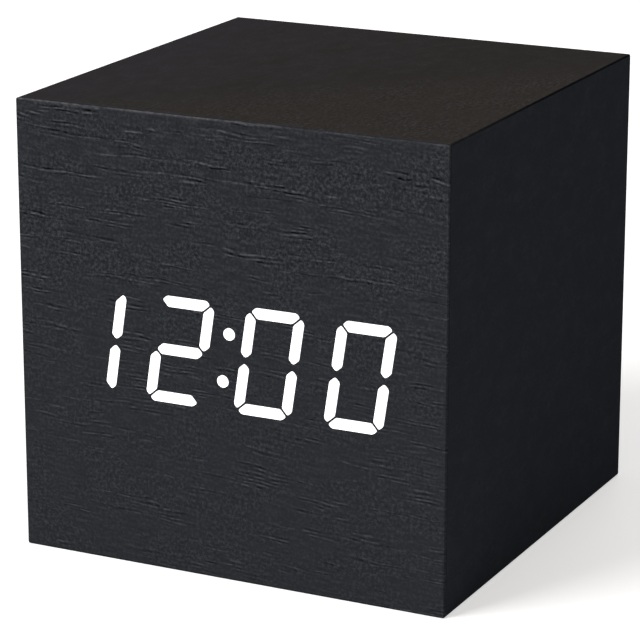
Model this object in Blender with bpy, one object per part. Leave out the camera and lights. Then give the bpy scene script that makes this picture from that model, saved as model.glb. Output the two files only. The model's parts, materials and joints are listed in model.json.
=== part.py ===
# Cube alarm clock: wood-grain case, lit seven-segment display, battery bay and keys at the back.
# Lengths are in metres. +Z is up, the front looks along -Y, and the origin is the middle of
# the face that the clock rests on.

import math

import bmesh
import bpy
from mathutils import Vector

# Fits that all pieces share
SEAT_GAP = 0.0003
GLUE_GAP = 0.0001
THREAD_GAP = 0.0001
CUT_OVERRUN = 0.001

# Case, folded from one board, and the film on its front. The cube's size follows from the
# contents and is worked out below
WALL = 0.004
EDGE_ROUND = 0.00025
RIM_CHAMFER = 0.00012
FILM_THICKNESS = 0.0005

# Display: four slanted digits of seven bars, and a colon
SHOWN_TIME = "1200"
LIT_BARS = {"0": "abcdef", "1": "bc", "2": "abdeg"}
DIGIT_HEIGHT = 0.0141
BAR_SPACING = 0.00667
BAR_WIDTH = 0.0014
BAR_GAP = 0.0003
BAR_TIP_GAP = 0.0007
BAR_TIP_ROUND = 0.0003
BAR_MITRE_ROUND = 0.0002
BAR_SIDE_ROUND = 0.0003
BAR_CORNER_CUT = 0.0006
BAR_CORNER_ROUND = 0.0004
BAR_CLEARANCE = 0.00005
SLANT_SHARE = 0.151
DIGIT_WALL = 0.0039
COLON_WALL = 0.000685
DISPLAY_X = -0.00047
DISPLAY_Z = -0.0004
COLON_X = 0.000265
COLON_RISE = 0.00314
COLON_DIAMETER = 0.0016
COLON_SIDES = 16
HOUSING_SIDE_MARGIN = 0.0012
HOUSING_TOP_MARGIN = 0.00245
HOUSING_ROOM = 0.0002
HOUSING_DEPTH = 0.0080
REFLECTOR_DEPTH = 0.0050
REFLECTOR_TAPER_SHARE = 0.55
RESIN_MARGIN = 0.0003
RESIN_ROOT = 0.0005
COLON_RESIN_MARGIN = 0.0002

# Main board and what is soldered to it
BOARD_THICKNESS = 0.0016
BOARD_CORNER = 0.0010
BOARD_OVERHANG = 0.0035
CHIP_WIDTH = 0.0039
CHIP_HEIGHT = 0.0015
CHIP_X = -0.0030
CHIP_Z = -0.0080
CHIP_LEGS_PER_SIDE = 8
LEG_PITCH = 0.00127
LEG_WIDTH = 0.00042
LEG_REACH = 0.00105
LEG_THICKNESS = 0.00025
LEG_LIFT = 0.0007
CRYSTAL_LENGTH = 0.0105
CRYSTAL_WIDTH = 0.0045
CRYSTAL_HEIGHT = 0.0035
CRYSTAL_INSET = 0.00715
CRYSTAL_Z = -0.0080
BUZZER_DIAMETER = 0.0095
BUZZER_HEIGHT = 0.0055
BUZZER_PORT = 0.0018
BUZZER_EDGE = 0.0004
BUZZER_INSET = 0.00765
BUZZER_Z = 0.0055
COIN_DIAMETER = 0.0125
COIN_THICKNESS = 0.0020
COIN_STEP = 0.0004
COIN_INSET = 0.00915
COIN_Z = -0.0040
HOLDER_WALL = 0.0010
HOLDER_FLOOR = 0.0008
HOLDER_NOTCH = 0.0050
SENSOR_DIAMETER = 0.0018
SENSOR_LENGTH = 0.0036
SENSOR_X = -0.0030
SENSOR_Z = 0.0090

# Ribbon cable between the boards
PLUG_WIDTH = 0.0092
PLUG_HEIGHT = 0.0036
PLUG_DEPTH = 0.0042
PLUG_LIP = 0.0005
RIBBON_WIRES = 7
RIBBON_PITCH = 0.0010
RIBBON_THICKNESS = 0.0009
RIBBON_X = 0.0035
RIBBON_Z = 0.0085
RIBBON_STEPS = 12
RIBBON_EASE_SHARE = 0.5

# Rear cover, set into the case
COVER_INSET = 0.0010
COVER_THICKNESS = 0.0016
COVER_CORNER = 0.0010
BLOCK_SIZE = 0.0062
BLOCK_LENGTH = 0.0090
BLOCK_CHAMFER = 0.0012
COVER_SCREW_SHAFT = 0.0020
COVER_SCREW_HEAD = 0.0038
COVER_SCREW_HEAD_HEIGHT = 0.0011
COVER_SCREW_LENGTH = 0.0080
COUNTERBORE_DEPTH = 0.0007
SOUND_SLOTS = 7
SOUND_SLOT_WIDTH = 0.0009
SOUND_SLOT_HEIGHT = 0.0036
SOUND_SLOT_PITCH = 0.0020
RIB_THICKNESS = 0.0010
RIB_HEIGHT = 0.0022
RIB_X = 0.0110

# Battery bay: three cells side by side, one above another
CELL_DIAMETER = 0.0105
CELL_LENGTH = 0.0445
CELL_NUB_DIAMETER = 0.0038
CELL_NUB_HEIGHT = 0.0009
CELL_EDGE = 0.0005
CELL_DISH = 0.0003
CELL_ROWS = 3
CELL_SIDES = 20
DOOR_CELL_GAP = 0.0005
BAY_WALL = 0.0012
BAY_MARGIN = 0.0001
BAY_WEB_FLOOR = 0.0008
BAY_ARC_STEPS = 8
CONTACT_THICKNESS = 0.0003
CONTACT_WIDTH = 0.0080
CONTACT_HEIGHT = 0.0086
TAG_WIDTH = 0.0022
TAG_REACH = 0.0030
SPRING_LENGTH = 0.0022
SPRING_WIRE = 0.0005
SPRING_TIP_RADIUS = 0.0014
SPRING_BASE_RADIUS = 0.0038
SPRING_TURNS = 3
SPRING_POINTS_PER_TURN = 8

# Battery door
DOOR_LEDGE = 0.0006
DOOR_CORNER = 0.0006
DOOR_EDGE = 0.0002
LATCH_WIDTH = 0.0090
LATCH_LENGTH = 0.0060
LATCH_SLIT = 0.0007
LATCH_RIDGES = 4
LATCH_RIDGE_WIDTH = 0.0066
LATCH_RIDGE_HEIGHT = 0.0004
LATCH_RIDGE_THICKNESS = 0.0005
LATCH_RIDGE_PITCH = 0.0011
THUMB_SCOOP_RADIUS = 0.0052
THUMB_SCOOP_DEPTH = 0.0008
DOOR_TAB_X = 0.0140
DOOR_TAB_WIDTH = 0.0050
DOOR_TAB_REACH = 0.0014
DOOR_TAB_THICKNESS = 0.0009

# Key board, keys and socket
KEY_BOARD_HEIGHT = 0.0092
ROW_GAP = 0.0005
KEY_NAMES = ("down", "up", "set")
KEY_DIAMETER = 0.0042
KEY_STAND = 0.0007
KEY_EDGE = 0.0003
KEY_FLANGE_DIAMETER = 0.0056
KEY_FLANGE_THICKNESS = 0.0010
KEY_FOOT_DIAMETER = 0.0026
KEY_FOOT = 0.0006
KEY_CLEARANCE = 0.0002
SWITCH_SIZE = 0.0060
SWITCH_BODY_HEIGHT = 0.0035
SWITCH_HEIGHT = 0.0050
SWITCH_EDGE = 0.0005
PLUNGER_DIAMETER = 0.0034
PLUNGER_ROOT = 0.0008
PLUNGER_WELL = 0.0016
PLUNGER_CLEARANCE = 0.0002
MICROPHONE_DIAMETER = 0.0040
MICROPHONE_HEIGHT = 0.0060
MICROPHONE_EDGE = 0.0003
MICROPHONE_PORT = 0.0014
SOCKET_SIZE = 0.0064
SOCKET_COLLAR = 0.0054
SOCKET_BORE = 0.0035
SOCKET_BORE_DEPTH = 0.0062
SOCKET_PIN = 0.0013
SOCKET_PIN_SHORT = 0.0012
BOSS_INSET = 0.0018
BOSS_DIAMETER = 0.0034
BOARD_SCREW_SHAFT = 0.0014
BOARD_SCREW_HEAD = 0.0028
BOARD_SCREW_HEAD_HEIGHT = 0.0009
BOARD_SCREW_LENGTH = 0.0060
CAPACITOR_DIAMETER = 0.0050
CAPACITOR_LENGTH = 0.0070
CAPACITOR_GROOVE = 0.0003
CAPACITOR_X = -0.0090

# Leads from the bay's end contacts to the key board
LEAD_RADIUS = 0.0005
LEAD_DROP = 0.0012
LEAD_CLEAR = 0.0009
LEAD_FROM_SCREW = 0.0015
LEAD_STEPS = 16

# Counts of sides on turned pieces
SMALL_SIDES = 12
ROUND_SIDES = 20
SMOOTH_ANGLE = math.radians(35)
ARC_STEP = math.radians(46)

# Sizes that follow from the sizes above
DIGIT_WIDTH = BAR_SPACING + BAR_WIDTH
DIGIT_PITCH = DIGIT_WIDTH + 2 * RESIN_MARGIN + DIGIT_WALL
COLON_SLAB = COLON_DIAMETER + 2 * COLON_RESIN_MARGIN
PAIR_PITCH = DIGIT_WIDTH + COLON_SLAB + 2 * (RESIN_MARGIN + COLON_WALL + abs(COLON_X))
HOUSING_WIDTH = (PAIR_PITCH + 2 * DIGIT_PITCH + DIGIT_WIDTH + SLANT_SHARE * DIGIT_HEIGHT
                 + 2 * HOUSING_SIDE_MARGIN)
HOUSING_HEIGHT = DIGIT_HEIGHT + 2 * HOUSING_TOP_MARGIN
MAIN_BOARD_HEIGHT = HOUSING_HEIGHT + 2 * BOARD_OVERHANG
CHIP_LENGTH = CHIP_LEGS_PER_SIDE * LEG_PITCH
CELL_PITCH = CELL_DIAMETER + SEAT_GAP
BAY_RADIUS = CELL_DIAMETER / 2 + SEAT_GAP
BAY_WIDTH = CELL_LENGTH + SPRING_LENGTH + 5 * SEAT_GAP + 2 * CONTACT_THICKNESS
BAY_HEIGHT = (CELL_ROWS - 1) * CELL_PITCH + 2 * BAY_RADIUS
DOOR_WIDTH = BAY_WIDTH + 2 * (DOOR_LEDGE - SEAT_GAP)
DOOR_HEIGHT = BAY_HEIGHT + 2 * (DOOR_LEDGE - SEAT_GAP)
KEY_ROOM = max(SWITCH_SIZE, KEY_FLANGE_DIAMETER)
KEY_PITCH = KEY_ROOM + ROW_GAP
BOSS_SPAN = (BOSS_DIAMETER + len(KEY_NAMES) * KEY_PITCH + MICROPHONE_DIAMETER + SOCKET_SIZE
             + 3 * ROW_GAP)

# The cover is as small as the bay's width, the bay and key board one above the other, the
# row of keys between the corner blocks, or the display's housing asks for
COVER_SIZE = max(BAY_WIDTH + 2 * (BAY_WALL + BAY_MARGIN),
                 BLOCK_SIZE + BAY_HEIGHT + 2 * BAY_WALL + KEY_BOARD_HEIGHT + 3 * SEAT_GAP,
                 BOSS_SPAN + 2 * (BOSS_INSET + SEAT_GAP + BLOCK_SIZE),
                 HOUSING_WIDTH + 2 * (abs(DISPLAY_X) + HOUSING_ROOM - SEAT_GAP))
INNER_SIZE = COVER_SIZE + 2 * SEAT_GAP
CUBE_SIZE = INNER_SIZE + 2 * WALL
KEY_BOARD_WIDTH = COVER_SIZE - 2 * (BLOCK_SIZE + SEAT_GAP)

# Places that follow from the sizes above
HALF = CUBE_SIZE / 2
FRONT_Y = -HALF
FILM_BACK_Y = FRONT_Y + FILM_THICKNESS
SHELL_FRONT_Y = FILM_BACK_Y + GLUE_GAP
HOUSING_FRONT_Y = FILM_BACK_Y + SEAT_GAP
HOUSING_BACK_Y = HOUSING_FRONT_Y + HOUSING_DEPTH
REFLECTOR_BACK_Y = HOUSING_FRONT_Y + REFLECTOR_DEPTH
MAIN_BOARD_FRONT_Y = HOUSING_BACK_Y + SEAT_GAP
MAIN_BOARD_BACK_Y = MAIN_BOARD_FRONT_Y + BOARD_THICKNESS
MAIN_TOP_Y = MAIN_BOARD_BACK_Y + SEAT_GAP
CRYSTAL_X = CRYSTAL_INSET - HOUSING_WIDTH / 2
BUZZER_X = BUZZER_INSET - HOUSING_WIDTH / 2
COIN_X = HOUSING_WIDTH / 2 - COIN_INSET
COVER_BACK_Y = HALF - COVER_INSET
COVER_FRONT_Y = COVER_BACK_Y - COVER_THICKNESS
CELL_Y = COVER_FRONT_Y - DOOR_CELL_GAP - CELL_DIAMETER / 2
BAY_Z = -COVER_SIZE / 2 + BLOCK_SIZE + SEAT_GAP + BAY_WALL + BAY_HEIGHT / 2
BAY_FLOOR_Y = CELL_Y - BAY_RADIUS - BAY_WALL
BOSS_X = KEY_BOARD_WIDTH / 2 - BOSS_INSET
KEY_FIRST_X = -BOSS_X + BOSS_DIAMETER / 2 + ROW_GAP + KEY_ROOM / 2
SOCKET_X = BOSS_X - BOSS_DIAMETER / 2 - ROW_GAP - SOCKET_SIZE / 2
MICROPHONE_X = SOCKET_X - SOCKET_SIZE / 2 - ROW_GAP - MICROPHONE_DIAMETER / 2
LEAD_BOARD_X = BOSS_X - BOARD_SCREW_HEAD / 2 - LEAD_FROM_SCREW
KEY_Z = BAY_Z + BAY_HEIGHT / 2 + BAY_WALL + SEAT_GAP + KEY_BOARD_HEIGHT / 2
KEY_FLANGE_Y = COVER_FRONT_Y - SEAT_GAP
KEY_FOOT_Y = KEY_FLANGE_Y - KEY_FLANGE_THICKNESS - KEY_FOOT
SWITCH_BASE_Y = KEY_FOOT_Y - SEAT_GAP - SWITCH_HEIGHT
KEY_BOARD_BACK_Y = SWITCH_BASE_Y - SEAT_GAP
KEY_BOARD_FRONT_Y = KEY_BOARD_BACK_Y - BOARD_THICKNESS
SCREW_OFFSET = COVER_SIZE / 2 - BLOCK_SIZE / 2


def clear_scene():
    for item in list(bpy.data.objects):
        bpy.data.objects.remove(item, do_unlink=True)


def make_material(name, colour, roughness, metallic=0.0, glow=0.0):
    material = bpy.data.materials.new(name)
    material.use_nodes = True
    shader = material.node_tree.nodes["Principled BSDF"]
    shader.inputs["Base Color"].default_value = (*colour, 1.0)
    shader.inputs["Roughness"].default_value = roughness
    shader.inputs["Metallic"].default_value = metallic
    shader.inputs["Emission Color"].default_value = (*colour, 1.0)
    shader.inputs["Emission Strength"].default_value = glow
    return material


# Outlines are lists of (across, up) points

def rectangle(width, height):
    half_width = width / 2
    half_height = height / 2
    return [(-half_width, -half_height), (half_width, -half_height),
            (half_width, half_height), (-half_width, half_height)]


def round_corners(points, radii):
    rounded = []
    for index, point in enumerate(points):
        corner = Vector(point)
        before = (Vector(points[index - 1]) - corner).normalized()
        after = (Vector(points[(index + 1) % len(points)]) - corner).normalized()
        inside = before.angle(after)
        trim = radii[index] / math.tan(inside / 2)
        centre = corner + (before + after).normalized() * radii[index] / math.sin(inside / 2)
        first = corner + before * trim - centre
        last = corner + after * trim - centre
        turn = math.copysign(math.pi - inside, first.x * last.y - first.y * last.x)
        steps = math.ceil(abs(turn) / ARC_STEP)
        for step in range(steps + 1):
            angle = turn * step / steps
            rounded.append((centre.x + first.x * math.cos(angle) - first.y * math.sin(angle),
                            centre.y + first.x * math.sin(angle) + first.y * math.cos(angle)))
    return rounded


def rounded_rectangle(width, height, radius):
    return round_corners(rectangle(width, height), [radius] * 4)


def circle(diameter, sides):
    angles = [math.tau * step / sides for step in range(sides)]
    return [(diameter / 2 * math.cos(angle), diameter / 2 * math.sin(angle)) for angle in angles]


def shifted(outline, across, up):
    return [(a + across, b + up) for a, b in outline]


def grown(points, distance):
    # Moves each side of a convex outline outwards
    area = sum(points[i - 1][0] * points[i][1] - points[i][0] * points[i - 1][1]
               for i in range(len(points)))
    side = math.copysign(distance, area)
    moved = []
    for index, point in enumerate(points):
        corner = Vector(point)
        before = (corner - Vector(points[index - 1])).normalized()
        after = (Vector(points[(index + 1) % len(points)]) - corner).normalized()
        normal = Vector((before.y + after.y, -before.x - after.x)).normalized()
        stretch = side / normal.dot(Vector((before.y, -before.x)))
        moved.append(tuple(corner + normal * stretch))
    return moved


# Solids are meshes under construction, with the front at low Y

def skinned(outlines):
    # Joins closed rings of points, each as long as the next, and fills the two ends
    mesh = bmesh.new()
    rings = [[mesh.verts.new(point) for point in outline] for outline in outlines]
    mesh.faces.new(rings[0])
    mesh.faces.new(rings[-1])
    for low, high in zip(rings, rings[1:]):
        for index in range(len(low)):
            mesh.faces.new((low[index - 1], low[index], high[index], high[index - 1]))
    bmesh.ops.recalc_face_normals(mesh, faces=mesh.faces)
    return mesh


def loft(sections):
    return skinned([[(across, y, up) for across, up in outline] for outline, y in sections])


def prism(outline, y_front, y_back):
    return loft([(outline, y_front), (outline, y_back)])


def prism_across(outline, x_left, x_right):
    # The outline is (y, z), and the prism runs along X
    mesh = prism(outline, x_left, x_right)
    for vertex in mesh.verts:
        vertex.co = (vertex.co.y, vertex.co.x, vertex.co.z)
    bmesh.ops.recalc_face_normals(mesh, faces=mesh.faces)
    return mesh


def block(x_range, y_range, z_range):
    outline = [(x_range[0], z_range[0]), (x_range[1], z_range[0]),
               (x_range[1], z_range[1]), (x_range[0], z_range[1])]
    return prism(outline, *y_range)


def turned(profile, sides):
    # Spins a profile of (radius, y) points, which starts and ends on the axis, about Y
    mesh = bmesh.new()
    points = [mesh.verts.new((radius, y, 0)) for radius, y in profile]
    edges = [mesh.edges.new(pair) for pair in zip(points, points[1:])]
    bmesh.ops.spin(mesh, geom=points + edges, cent=(0, 0, 0), axis=(0, 1, 0),
                   angle=math.tau, steps=sides, use_merge=True)
    smallest = min(radius for radius, y in profile if radius > 0)
    bmesh.ops.remove_doubles(mesh, verts=mesh.verts, dist=smallest / 1000)
    bmesh.ops.recalc_face_normals(mesh, faces=mesh.faces)
    return mesh


def cylinder(diameter, y_front, y_back, sides=SMALL_SIDES):
    return prism(circle(diameter, sides), y_front, y_back)


def moved(mesh, x, y, z):
    bmesh.ops.translate(mesh, verts=mesh.verts, vec=(x, y, z))
    return mesh


def gathered(meshes):
    # Puts solids that don't meet into one mesh
    whole = bmesh.new()
    for mesh in meshes:
        data = to_data(mesh, "gathered")
        whole.from_mesh(data)
        bpy.data.meshes.remove(data)
    return whole


def to_data(mesh, name):
    data = bpy.data.meshes.new(name)
    mesh.to_mesh(data)
    mesh.free()
    return data


def add_piece(name, mesh, material, place=(0, 0, 0), turn=(0, 0, 0)):
    # Places are measured from the middle of the cube
    piece = bpy.data.objects.new(name, to_data(mesh, name))
    bpy.context.scene.collection.objects.link(piece)
    piece.location = (place[0], place[1], place[2] + HALF)
    piece.rotation_euler = turn
    dress(piece, material)
    return piece


def add_copy(name, original, place, turn=(0, 0, 0)):
    piece = bpy.data.objects.new(name, original.data)
    bpy.context.scene.collection.objects.link(piece)
    piece.location = (place[0], place[1], place[2] + HALF)
    piece.rotation_euler = turn
    return piece


def dress(piece, material):
    piece.data.materials.clear()
    piece.data.materials.append(material)
    piece.data.shade_smooth()
    piece.data.set_sharp_from_angle(angle=SMOOTH_ANGLE)


def combine(piece, mesh, operation):
    # Adds or cuts away a solid drawn in the piece's own axes
    tool = bpy.data.objects.new("tool", to_data(mesh, "tool"))
    bpy.context.scene.collection.objects.link(tool)
    tool.location = piece.location
    tool.rotation_euler = piece.rotation_euler
    modifier = piece.modifiers.new("Combine", "BOOLEAN")
    modifier.object = tool
    modifier.operation = operation
    modifier.solver = "EXACT"
    depsgraph = bpy.context.evaluated_depsgraph_get()
    result = bpy.data.meshes.new_from_object(piece.evaluated_get(depsgraph))
    piece.modifiers.clear()
    material = piece.data.materials[0]
    old = piece.data
    piece.data = result
    result.name = old.name
    bpy.data.meshes.remove(old)
    bpy.data.meshes.remove(tool.data)
    dress(piece, material)


def add_to(piece, *meshes):
    for mesh in meshes:
        combine(piece, mesh, "UNION")


def cut_from(piece, *meshes):
    for mesh in meshes:
        combine(piece, mesh, "DIFFERENCE")


# Display

def bar_outlines(growth):
    # The seven bars of one upright digit, named a to g, about the digit's middle
    half = BAR_WIDTH / 2
    side = BAR_SPACING / 2
    top = DIGIT_HEIGHT / 2
    mitre = BAR_GAP / math.sqrt(2)
    tip = BAR_TIP_GAP / 2
    reach = side - (BAR_GAP * math.sqrt(2) - tip)
    # The digit's outer corners are cut off across the mitres
    outer = side + half
    cut = BAR_CORNER_CUT
    near = cut - mitre / 2
    far = cut + mitre / 2
    upright = [(side, tip), (outer, tip + half), (outer, top - 2 * cut),
               (outer - near, top - far), (side - half, top - 2 * half - mitre),
               (side - half, tip + half)]
    upright_rounds = [BAR_TIP_ROUND, BAR_SIDE_ROUND, BAR_CORNER_ROUND, BAR_MITRE_ROUND,
                      BAR_SIDE_ROUND, BAR_SIDE_ROUND]
    level = [(2 * cut - outer, top), (far - outer, top - near),
             (half - side + mitre, top - 2 * half), (side - half - mitre, top - 2 * half),
             (outer - far, top - near), (outer - 2 * cut, top)]
    level_rounds = [BAR_CORNER_ROUND, BAR_MITRE_ROUND, BAR_SIDE_ROUND]
    level_rounds += reversed(level_rounds)
    middle = [(-reach, 0), (half - reach, -half), (reach - half, -half),
              (reach, 0), (reach - half, half), (half - reach, half)]
    middle_rounds = [BAR_TIP_ROUND, BAR_SIDE_ROUND, BAR_SIDE_ROUND] * 2

    def finished(points, rounds, flip_x=1, flip_z=1):
        rounded = round_corners(grown(points, growth), [radius + growth for radius in rounds])
        return [(x * flip_x, z * flip_z) for x, z in rounded]

    return {"a": finished(level, level_rounds), "b": finished(upright, upright_rounds),
            "c": finished(upright, upright_rounds, 1, -1),
            "d": finished(level, level_rounds, 1, -1),
            "e": finished(upright, upright_rounds, -1, -1),
            "f": finished(upright, upright_rounds, -1, 1), "g": finished(middle, middle_rounds)}


def slanted(outline, across):
    return [(x + across + SLANT_SHARE * z, z) for x, z in outline]


def narrowed(outline, share):
    middle_x = sum(x for x, z in outline) / len(outline)
    middle_z = sum(z for x, z in outline) / len(outline)
    return [(middle_x + (x - middle_x) * share, middle_z + (z - middle_z) * share)
            for x, z in outline]


def digit_centres():
    pair = PAIR_PITCH / 2
    return [-pair - DIGIT_PITCH, -pair, pair, pair + DIGIT_PITCH]


def light_outlines(growth):
    # For each digit, and last the colon: a list of (outline, lit)
    groups = []
    for figure, centre in zip(SHOWN_TIME, digit_centres()):
        bars = bar_outlines(growth)
        groups.append([(slanted(bars[bar], centre), bar in LIT_BARS[figure]) for bar in bars])
    dot = circle(COLON_DIAMETER + 2 * growth, COLON_SIDES)
    groups.append([(shifted(dot, COLON_X + SLANT_SHARE * rise, rise), True)
                   for rise in (COLON_RISE, -COLON_RISE)])
    return groups


def resin_outlines(growth):
    # The slab behind each digit, and last the one behind the colon
    height = DIGIT_HEIGHT + 2 * (RESIN_MARGIN + growth)
    width = BAR_SPACING + BAR_WIDTH + 2 * (RESIN_MARGIN + growth)
    slabs = [slanted(rectangle(width, height), centre) for centre in digit_centres()]
    colon_width = COLON_DIAMETER + 2 * (COLON_RESIN_MARGIN + growth)
    slabs.append(slanted(rectangle(colon_width, height), COLON_X))
    return slabs


def tapered_bar(outline, y_root, y_front):
    narrow = narrowed(outline, REFLECTOR_TAPER_SHARE)
    return loft([(narrow, y_root), (narrow, REFLECTOR_BACK_Y), (outline, HOUSING_FRONT_Y),
                 (outline, y_front)])


def make_display():
    place = (DISPLAY_X, 0, DISPLAY_Z)
    black = make_material("housing_black", (0.012, 0.012, 0.013), 0.55)
    housing = add_piece("display_housing", prism(rectangle(HOUSING_WIDTH, HOUSING_HEIGHT),
                                                 HOUSING_FRONT_Y, HOUSING_BACK_Y), black, place)
    wells = [prism(outline, REFLECTOR_BACK_Y, HOUSING_BACK_Y + CUT_OVERRUN)
             for outline in resin_outlines(BAR_CLEARANCE)]
    cut_from(housing, gathered(wells))
    reflectors = [tapered_bar(outline, REFLECTOR_BACK_Y + RESIN_ROOT,
                              HOUSING_FRONT_Y - CUT_OVERRUN)
                  for group in light_outlines(BAR_CLEARANCE) for outline, lit in group]
    cut_from(housing, gathered(reflectors))

    white = make_material("lit_resin", (1.0, 1.0, 1.0), 0.4, glow=1.0)
    names = [f"digit_{index + 1}_light_bars" for index in range(len(SHOWN_TIME))]
    names.append("colon_light_bars")
    slab_front = REFLECTOR_BACK_Y + BAR_CLEARANCE
    slab_back = HOUSING_BACK_Y - BAR_CLEARANCE
    unlit_front = HOUSING_FRONT_Y - BAR_CLEARANCE
    for name, slab, group in zip(names, resin_outlines(0), light_outlines(0)):
        resin = add_piece(name, prism(slab, slab_front, slab_back), white, place)
        bars = [tapered_bar(outline, slab_front + RESIN_ROOT, FRONT_Y if lit else unlit_front)
                for outline, lit in group]
        add_to(resin, gathered(bars))


# Case

def make_case():
    outer = rounded_rectangle(CUBE_SIZE, CUBE_SIZE, EDGE_ROUND)
    rim_size = CUBE_SIZE - 2 * RIM_CHAMFER
    rim = rounded_rectangle(rim_size, rim_size, EDGE_ROUND - RIM_CHAMFER)
    black_wood = make_material("black_wood_grain", (0.027, 0.028, 0.031), 0.5)
    shell = add_piece("case_shell", loft([(outer, SHELL_FRONT_Y), (outer, HALF - RIM_CHAMFER),
                                          (rim, HALF)]), black_wood)
    cut_from(shell, prism(rectangle(INNER_SIZE, INNER_SIZE), SHELL_FRONT_Y + WALL,
                          HALF + CUT_OVERRUN))
    window = rectangle(HOUSING_WIDTH + 2 * SEAT_GAP, HOUSING_HEIGHT + 2 * SEAT_GAP)
    cut_from(shell, prism(shifted(window, DISPLAY_X, DISPLAY_Z), SHELL_FRONT_Y - CUT_OVERRUN,
                          SHELL_FRONT_Y + WALL + CUT_OVERRUN))

    film_grain = make_material("front_film_grain", (0.028, 0.029, 0.033), 0.45)
    film = add_piece("front_film", loft([(rim, FRONT_Y), (outer, FRONT_Y + RIM_CHAMFER),
                                         (outer, FILM_BACK_Y)]), film_grain)
    windows = [prism(shifted(outline, DISPLAY_X, DISPLAY_Z), FRONT_Y - CUT_OVERRUN,
                     FILM_BACK_Y + CUT_OVERRUN)
               for group in light_outlines(BAR_CLEARANCE) for outline, lit in group if lit]
    cut_from(film, gathered(windows))


# Main board

def make_main_board():
    green = make_material("board_green", (0.010, 0.060, 0.025), 0.4)
    outline = rounded_rectangle(HOUSING_WIDTH, MAIN_BOARD_HEIGHT, BOARD_CORNER)
    add_piece("main_board", prism(outline, MAIN_BOARD_FRONT_Y, MAIN_BOARD_BACK_Y), green,
              (DISPLAY_X, 0, DISPLAY_Z))
    make_chip()
    metal = make_material("tinned_can", (0.55, 0.55, 0.56), 0.3, 1.0)
    straight = CRYSTAL_LENGTH - CRYSTAL_WIDTH
    can = [(x + math.copysign(straight / 2, x), z) for x, z in circle(CRYSTAL_WIDTH, ROUND_SIDES)]
    add_piece("crystal", prism(can, 0, CRYSTAL_HEIGHT), metal,
              (DISPLAY_X + CRYSTAL_X, MAIN_TOP_Y, DISPLAY_Z + CRYSTAL_Z))
    make_buzzer()
    make_backup_cell()
    amber = make_material("sensor_resin", (0.20, 0.05, 0.01), 0.35)
    radius = SENSOR_DIAMETER / 2
    dome = [(radius * math.cos(angle), SENSOR_LENGTH - radius * (1 - math.sin(angle)))
            for angle in (0, math.radians(30), math.radians(60))]
    add_piece("temperature_sensor", turned([(0, 0), (radius, 0), *dome, (0, SENSOR_LENGTH)],
                                           SMALL_SIDES), amber,
              (DISPLAY_X + SENSOR_X, MAIN_TOP_Y, DISPLAY_Z + SENSOR_Z))


def make_chip():
    resin = make_material("chip_resin", (0.015, 0.015, 0.016), 0.5)
    base = rectangle(CHIP_LENGTH, CHIP_WIDTH)
    middle = LEG_LIFT + LEG_THICKNESS
    top = rectangle(CHIP_LENGTH - LEG_THICKNESS, CHIP_WIDTH - LEG_THICKNESS)
    chip = add_piece("microcontroller", loft([(top, LEG_THICKNESS), (base, LEG_LIFT),
                                              (base, middle), (top, CHIP_HEIGHT)]), resin,
                     (DISPLAY_X + CHIP_X, MAIN_TOP_Y, DISPLAY_Z + CHIP_Z))
    half = CHIP_WIDTH / 2
    bend = half + LEG_REACH / 2
    foot = half + LEG_REACH
    # Leg profile as (height above the board, distance out), from the body to the foot's end
    profile = [(LEG_LIFT, half - LEG_THICKNESS), (LEG_LIFT, bend - LEG_THICKNESS),
               (0, bend - LEG_THICKNESS), (0, foot), (LEG_THICKNESS, foot),
               (LEG_THICKNESS, bend), (middle, bend), (middle, half - LEG_THICKNESS)]
    first = -(CHIP_LEGS_PER_SIDE - 1) / 2 * LEG_PITCH
    legs = []
    for index in range(CHIP_LEGS_PER_SIDE):
        centre = first + index * LEG_PITCH
        for side in (-1, 1):
            points = [(lift, out * side) for lift, out in profile]
            legs.append(prism_across(points, centre - LEG_WIDTH / 2, centre + LEG_WIDTH / 2))
    add_to(chip, gathered(legs))


def make_buzzer():
    black = make_material("buzzer_black", (0.018, 0.018, 0.019), 0.45)
    radius = BUZZER_DIAMETER / 2
    port = BUZZER_PORT / 2
    profile = [(0, 0), (radius, 0), (radius, BUZZER_HEIGHT - BUZZER_EDGE),
               (radius - BUZZER_EDGE, BUZZER_HEIGHT), (port, BUZZER_HEIGHT),
               (port, BUZZER_HEIGHT - BUZZER_PORT), (0, BUZZER_HEIGHT - BUZZER_PORT)]
    add_piece("buzzer", turned(profile, ROUND_SIDES), black,
              (DISPLAY_X + BUZZER_X, MAIN_TOP_Y, DISPLAY_Z + BUZZER_Z))


def make_backup_cell():
    cream = make_material("holder_plastic", (0.45, 0.43, 0.38), 0.5)
    steel = make_material("coin_steel", (0.60, 0.60, 0.61), 0.28, 1.0)
    x = DISPLAY_X + COIN_X
    z = DISPLAY_Z + COIN_Z
    pocket = COIN_DIAMETER + 2 * SEAT_GAP
    outside = pocket + 2 * HOLDER_WALL
    height = HOLDER_FLOOR + SEAT_GAP + COIN_THICKNESS
    holder = add_piece("backup_cell_holder", cylinder(outside, 0, height, ROUND_SIDES), cream,
                       (x, MAIN_TOP_Y, z))
    cut_from(holder, cylinder(pocket, HOLDER_FLOOR, height + CUT_OVERRUN, ROUND_SIDES),
             block((-HOLDER_NOTCH / 2, HOLDER_NOTCH / 2), (HOLDER_FLOOR, height + CUT_OVERRUN),
                   (0, outside)))
    radius = COIN_DIAMETER / 2
    profile = [(0, 0), (radius - COIN_STEP, 0), (radius, COIN_STEP), (radius, COIN_THICKNESS),
               (0, COIN_THICKNESS)]
    add_piece("backup_cell", turned(profile, ROUND_SIDES), steel,
              (x, MAIN_TOP_Y + HOLDER_FLOOR + SEAT_GAP, z))


# Ribbon cable between the boards

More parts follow.
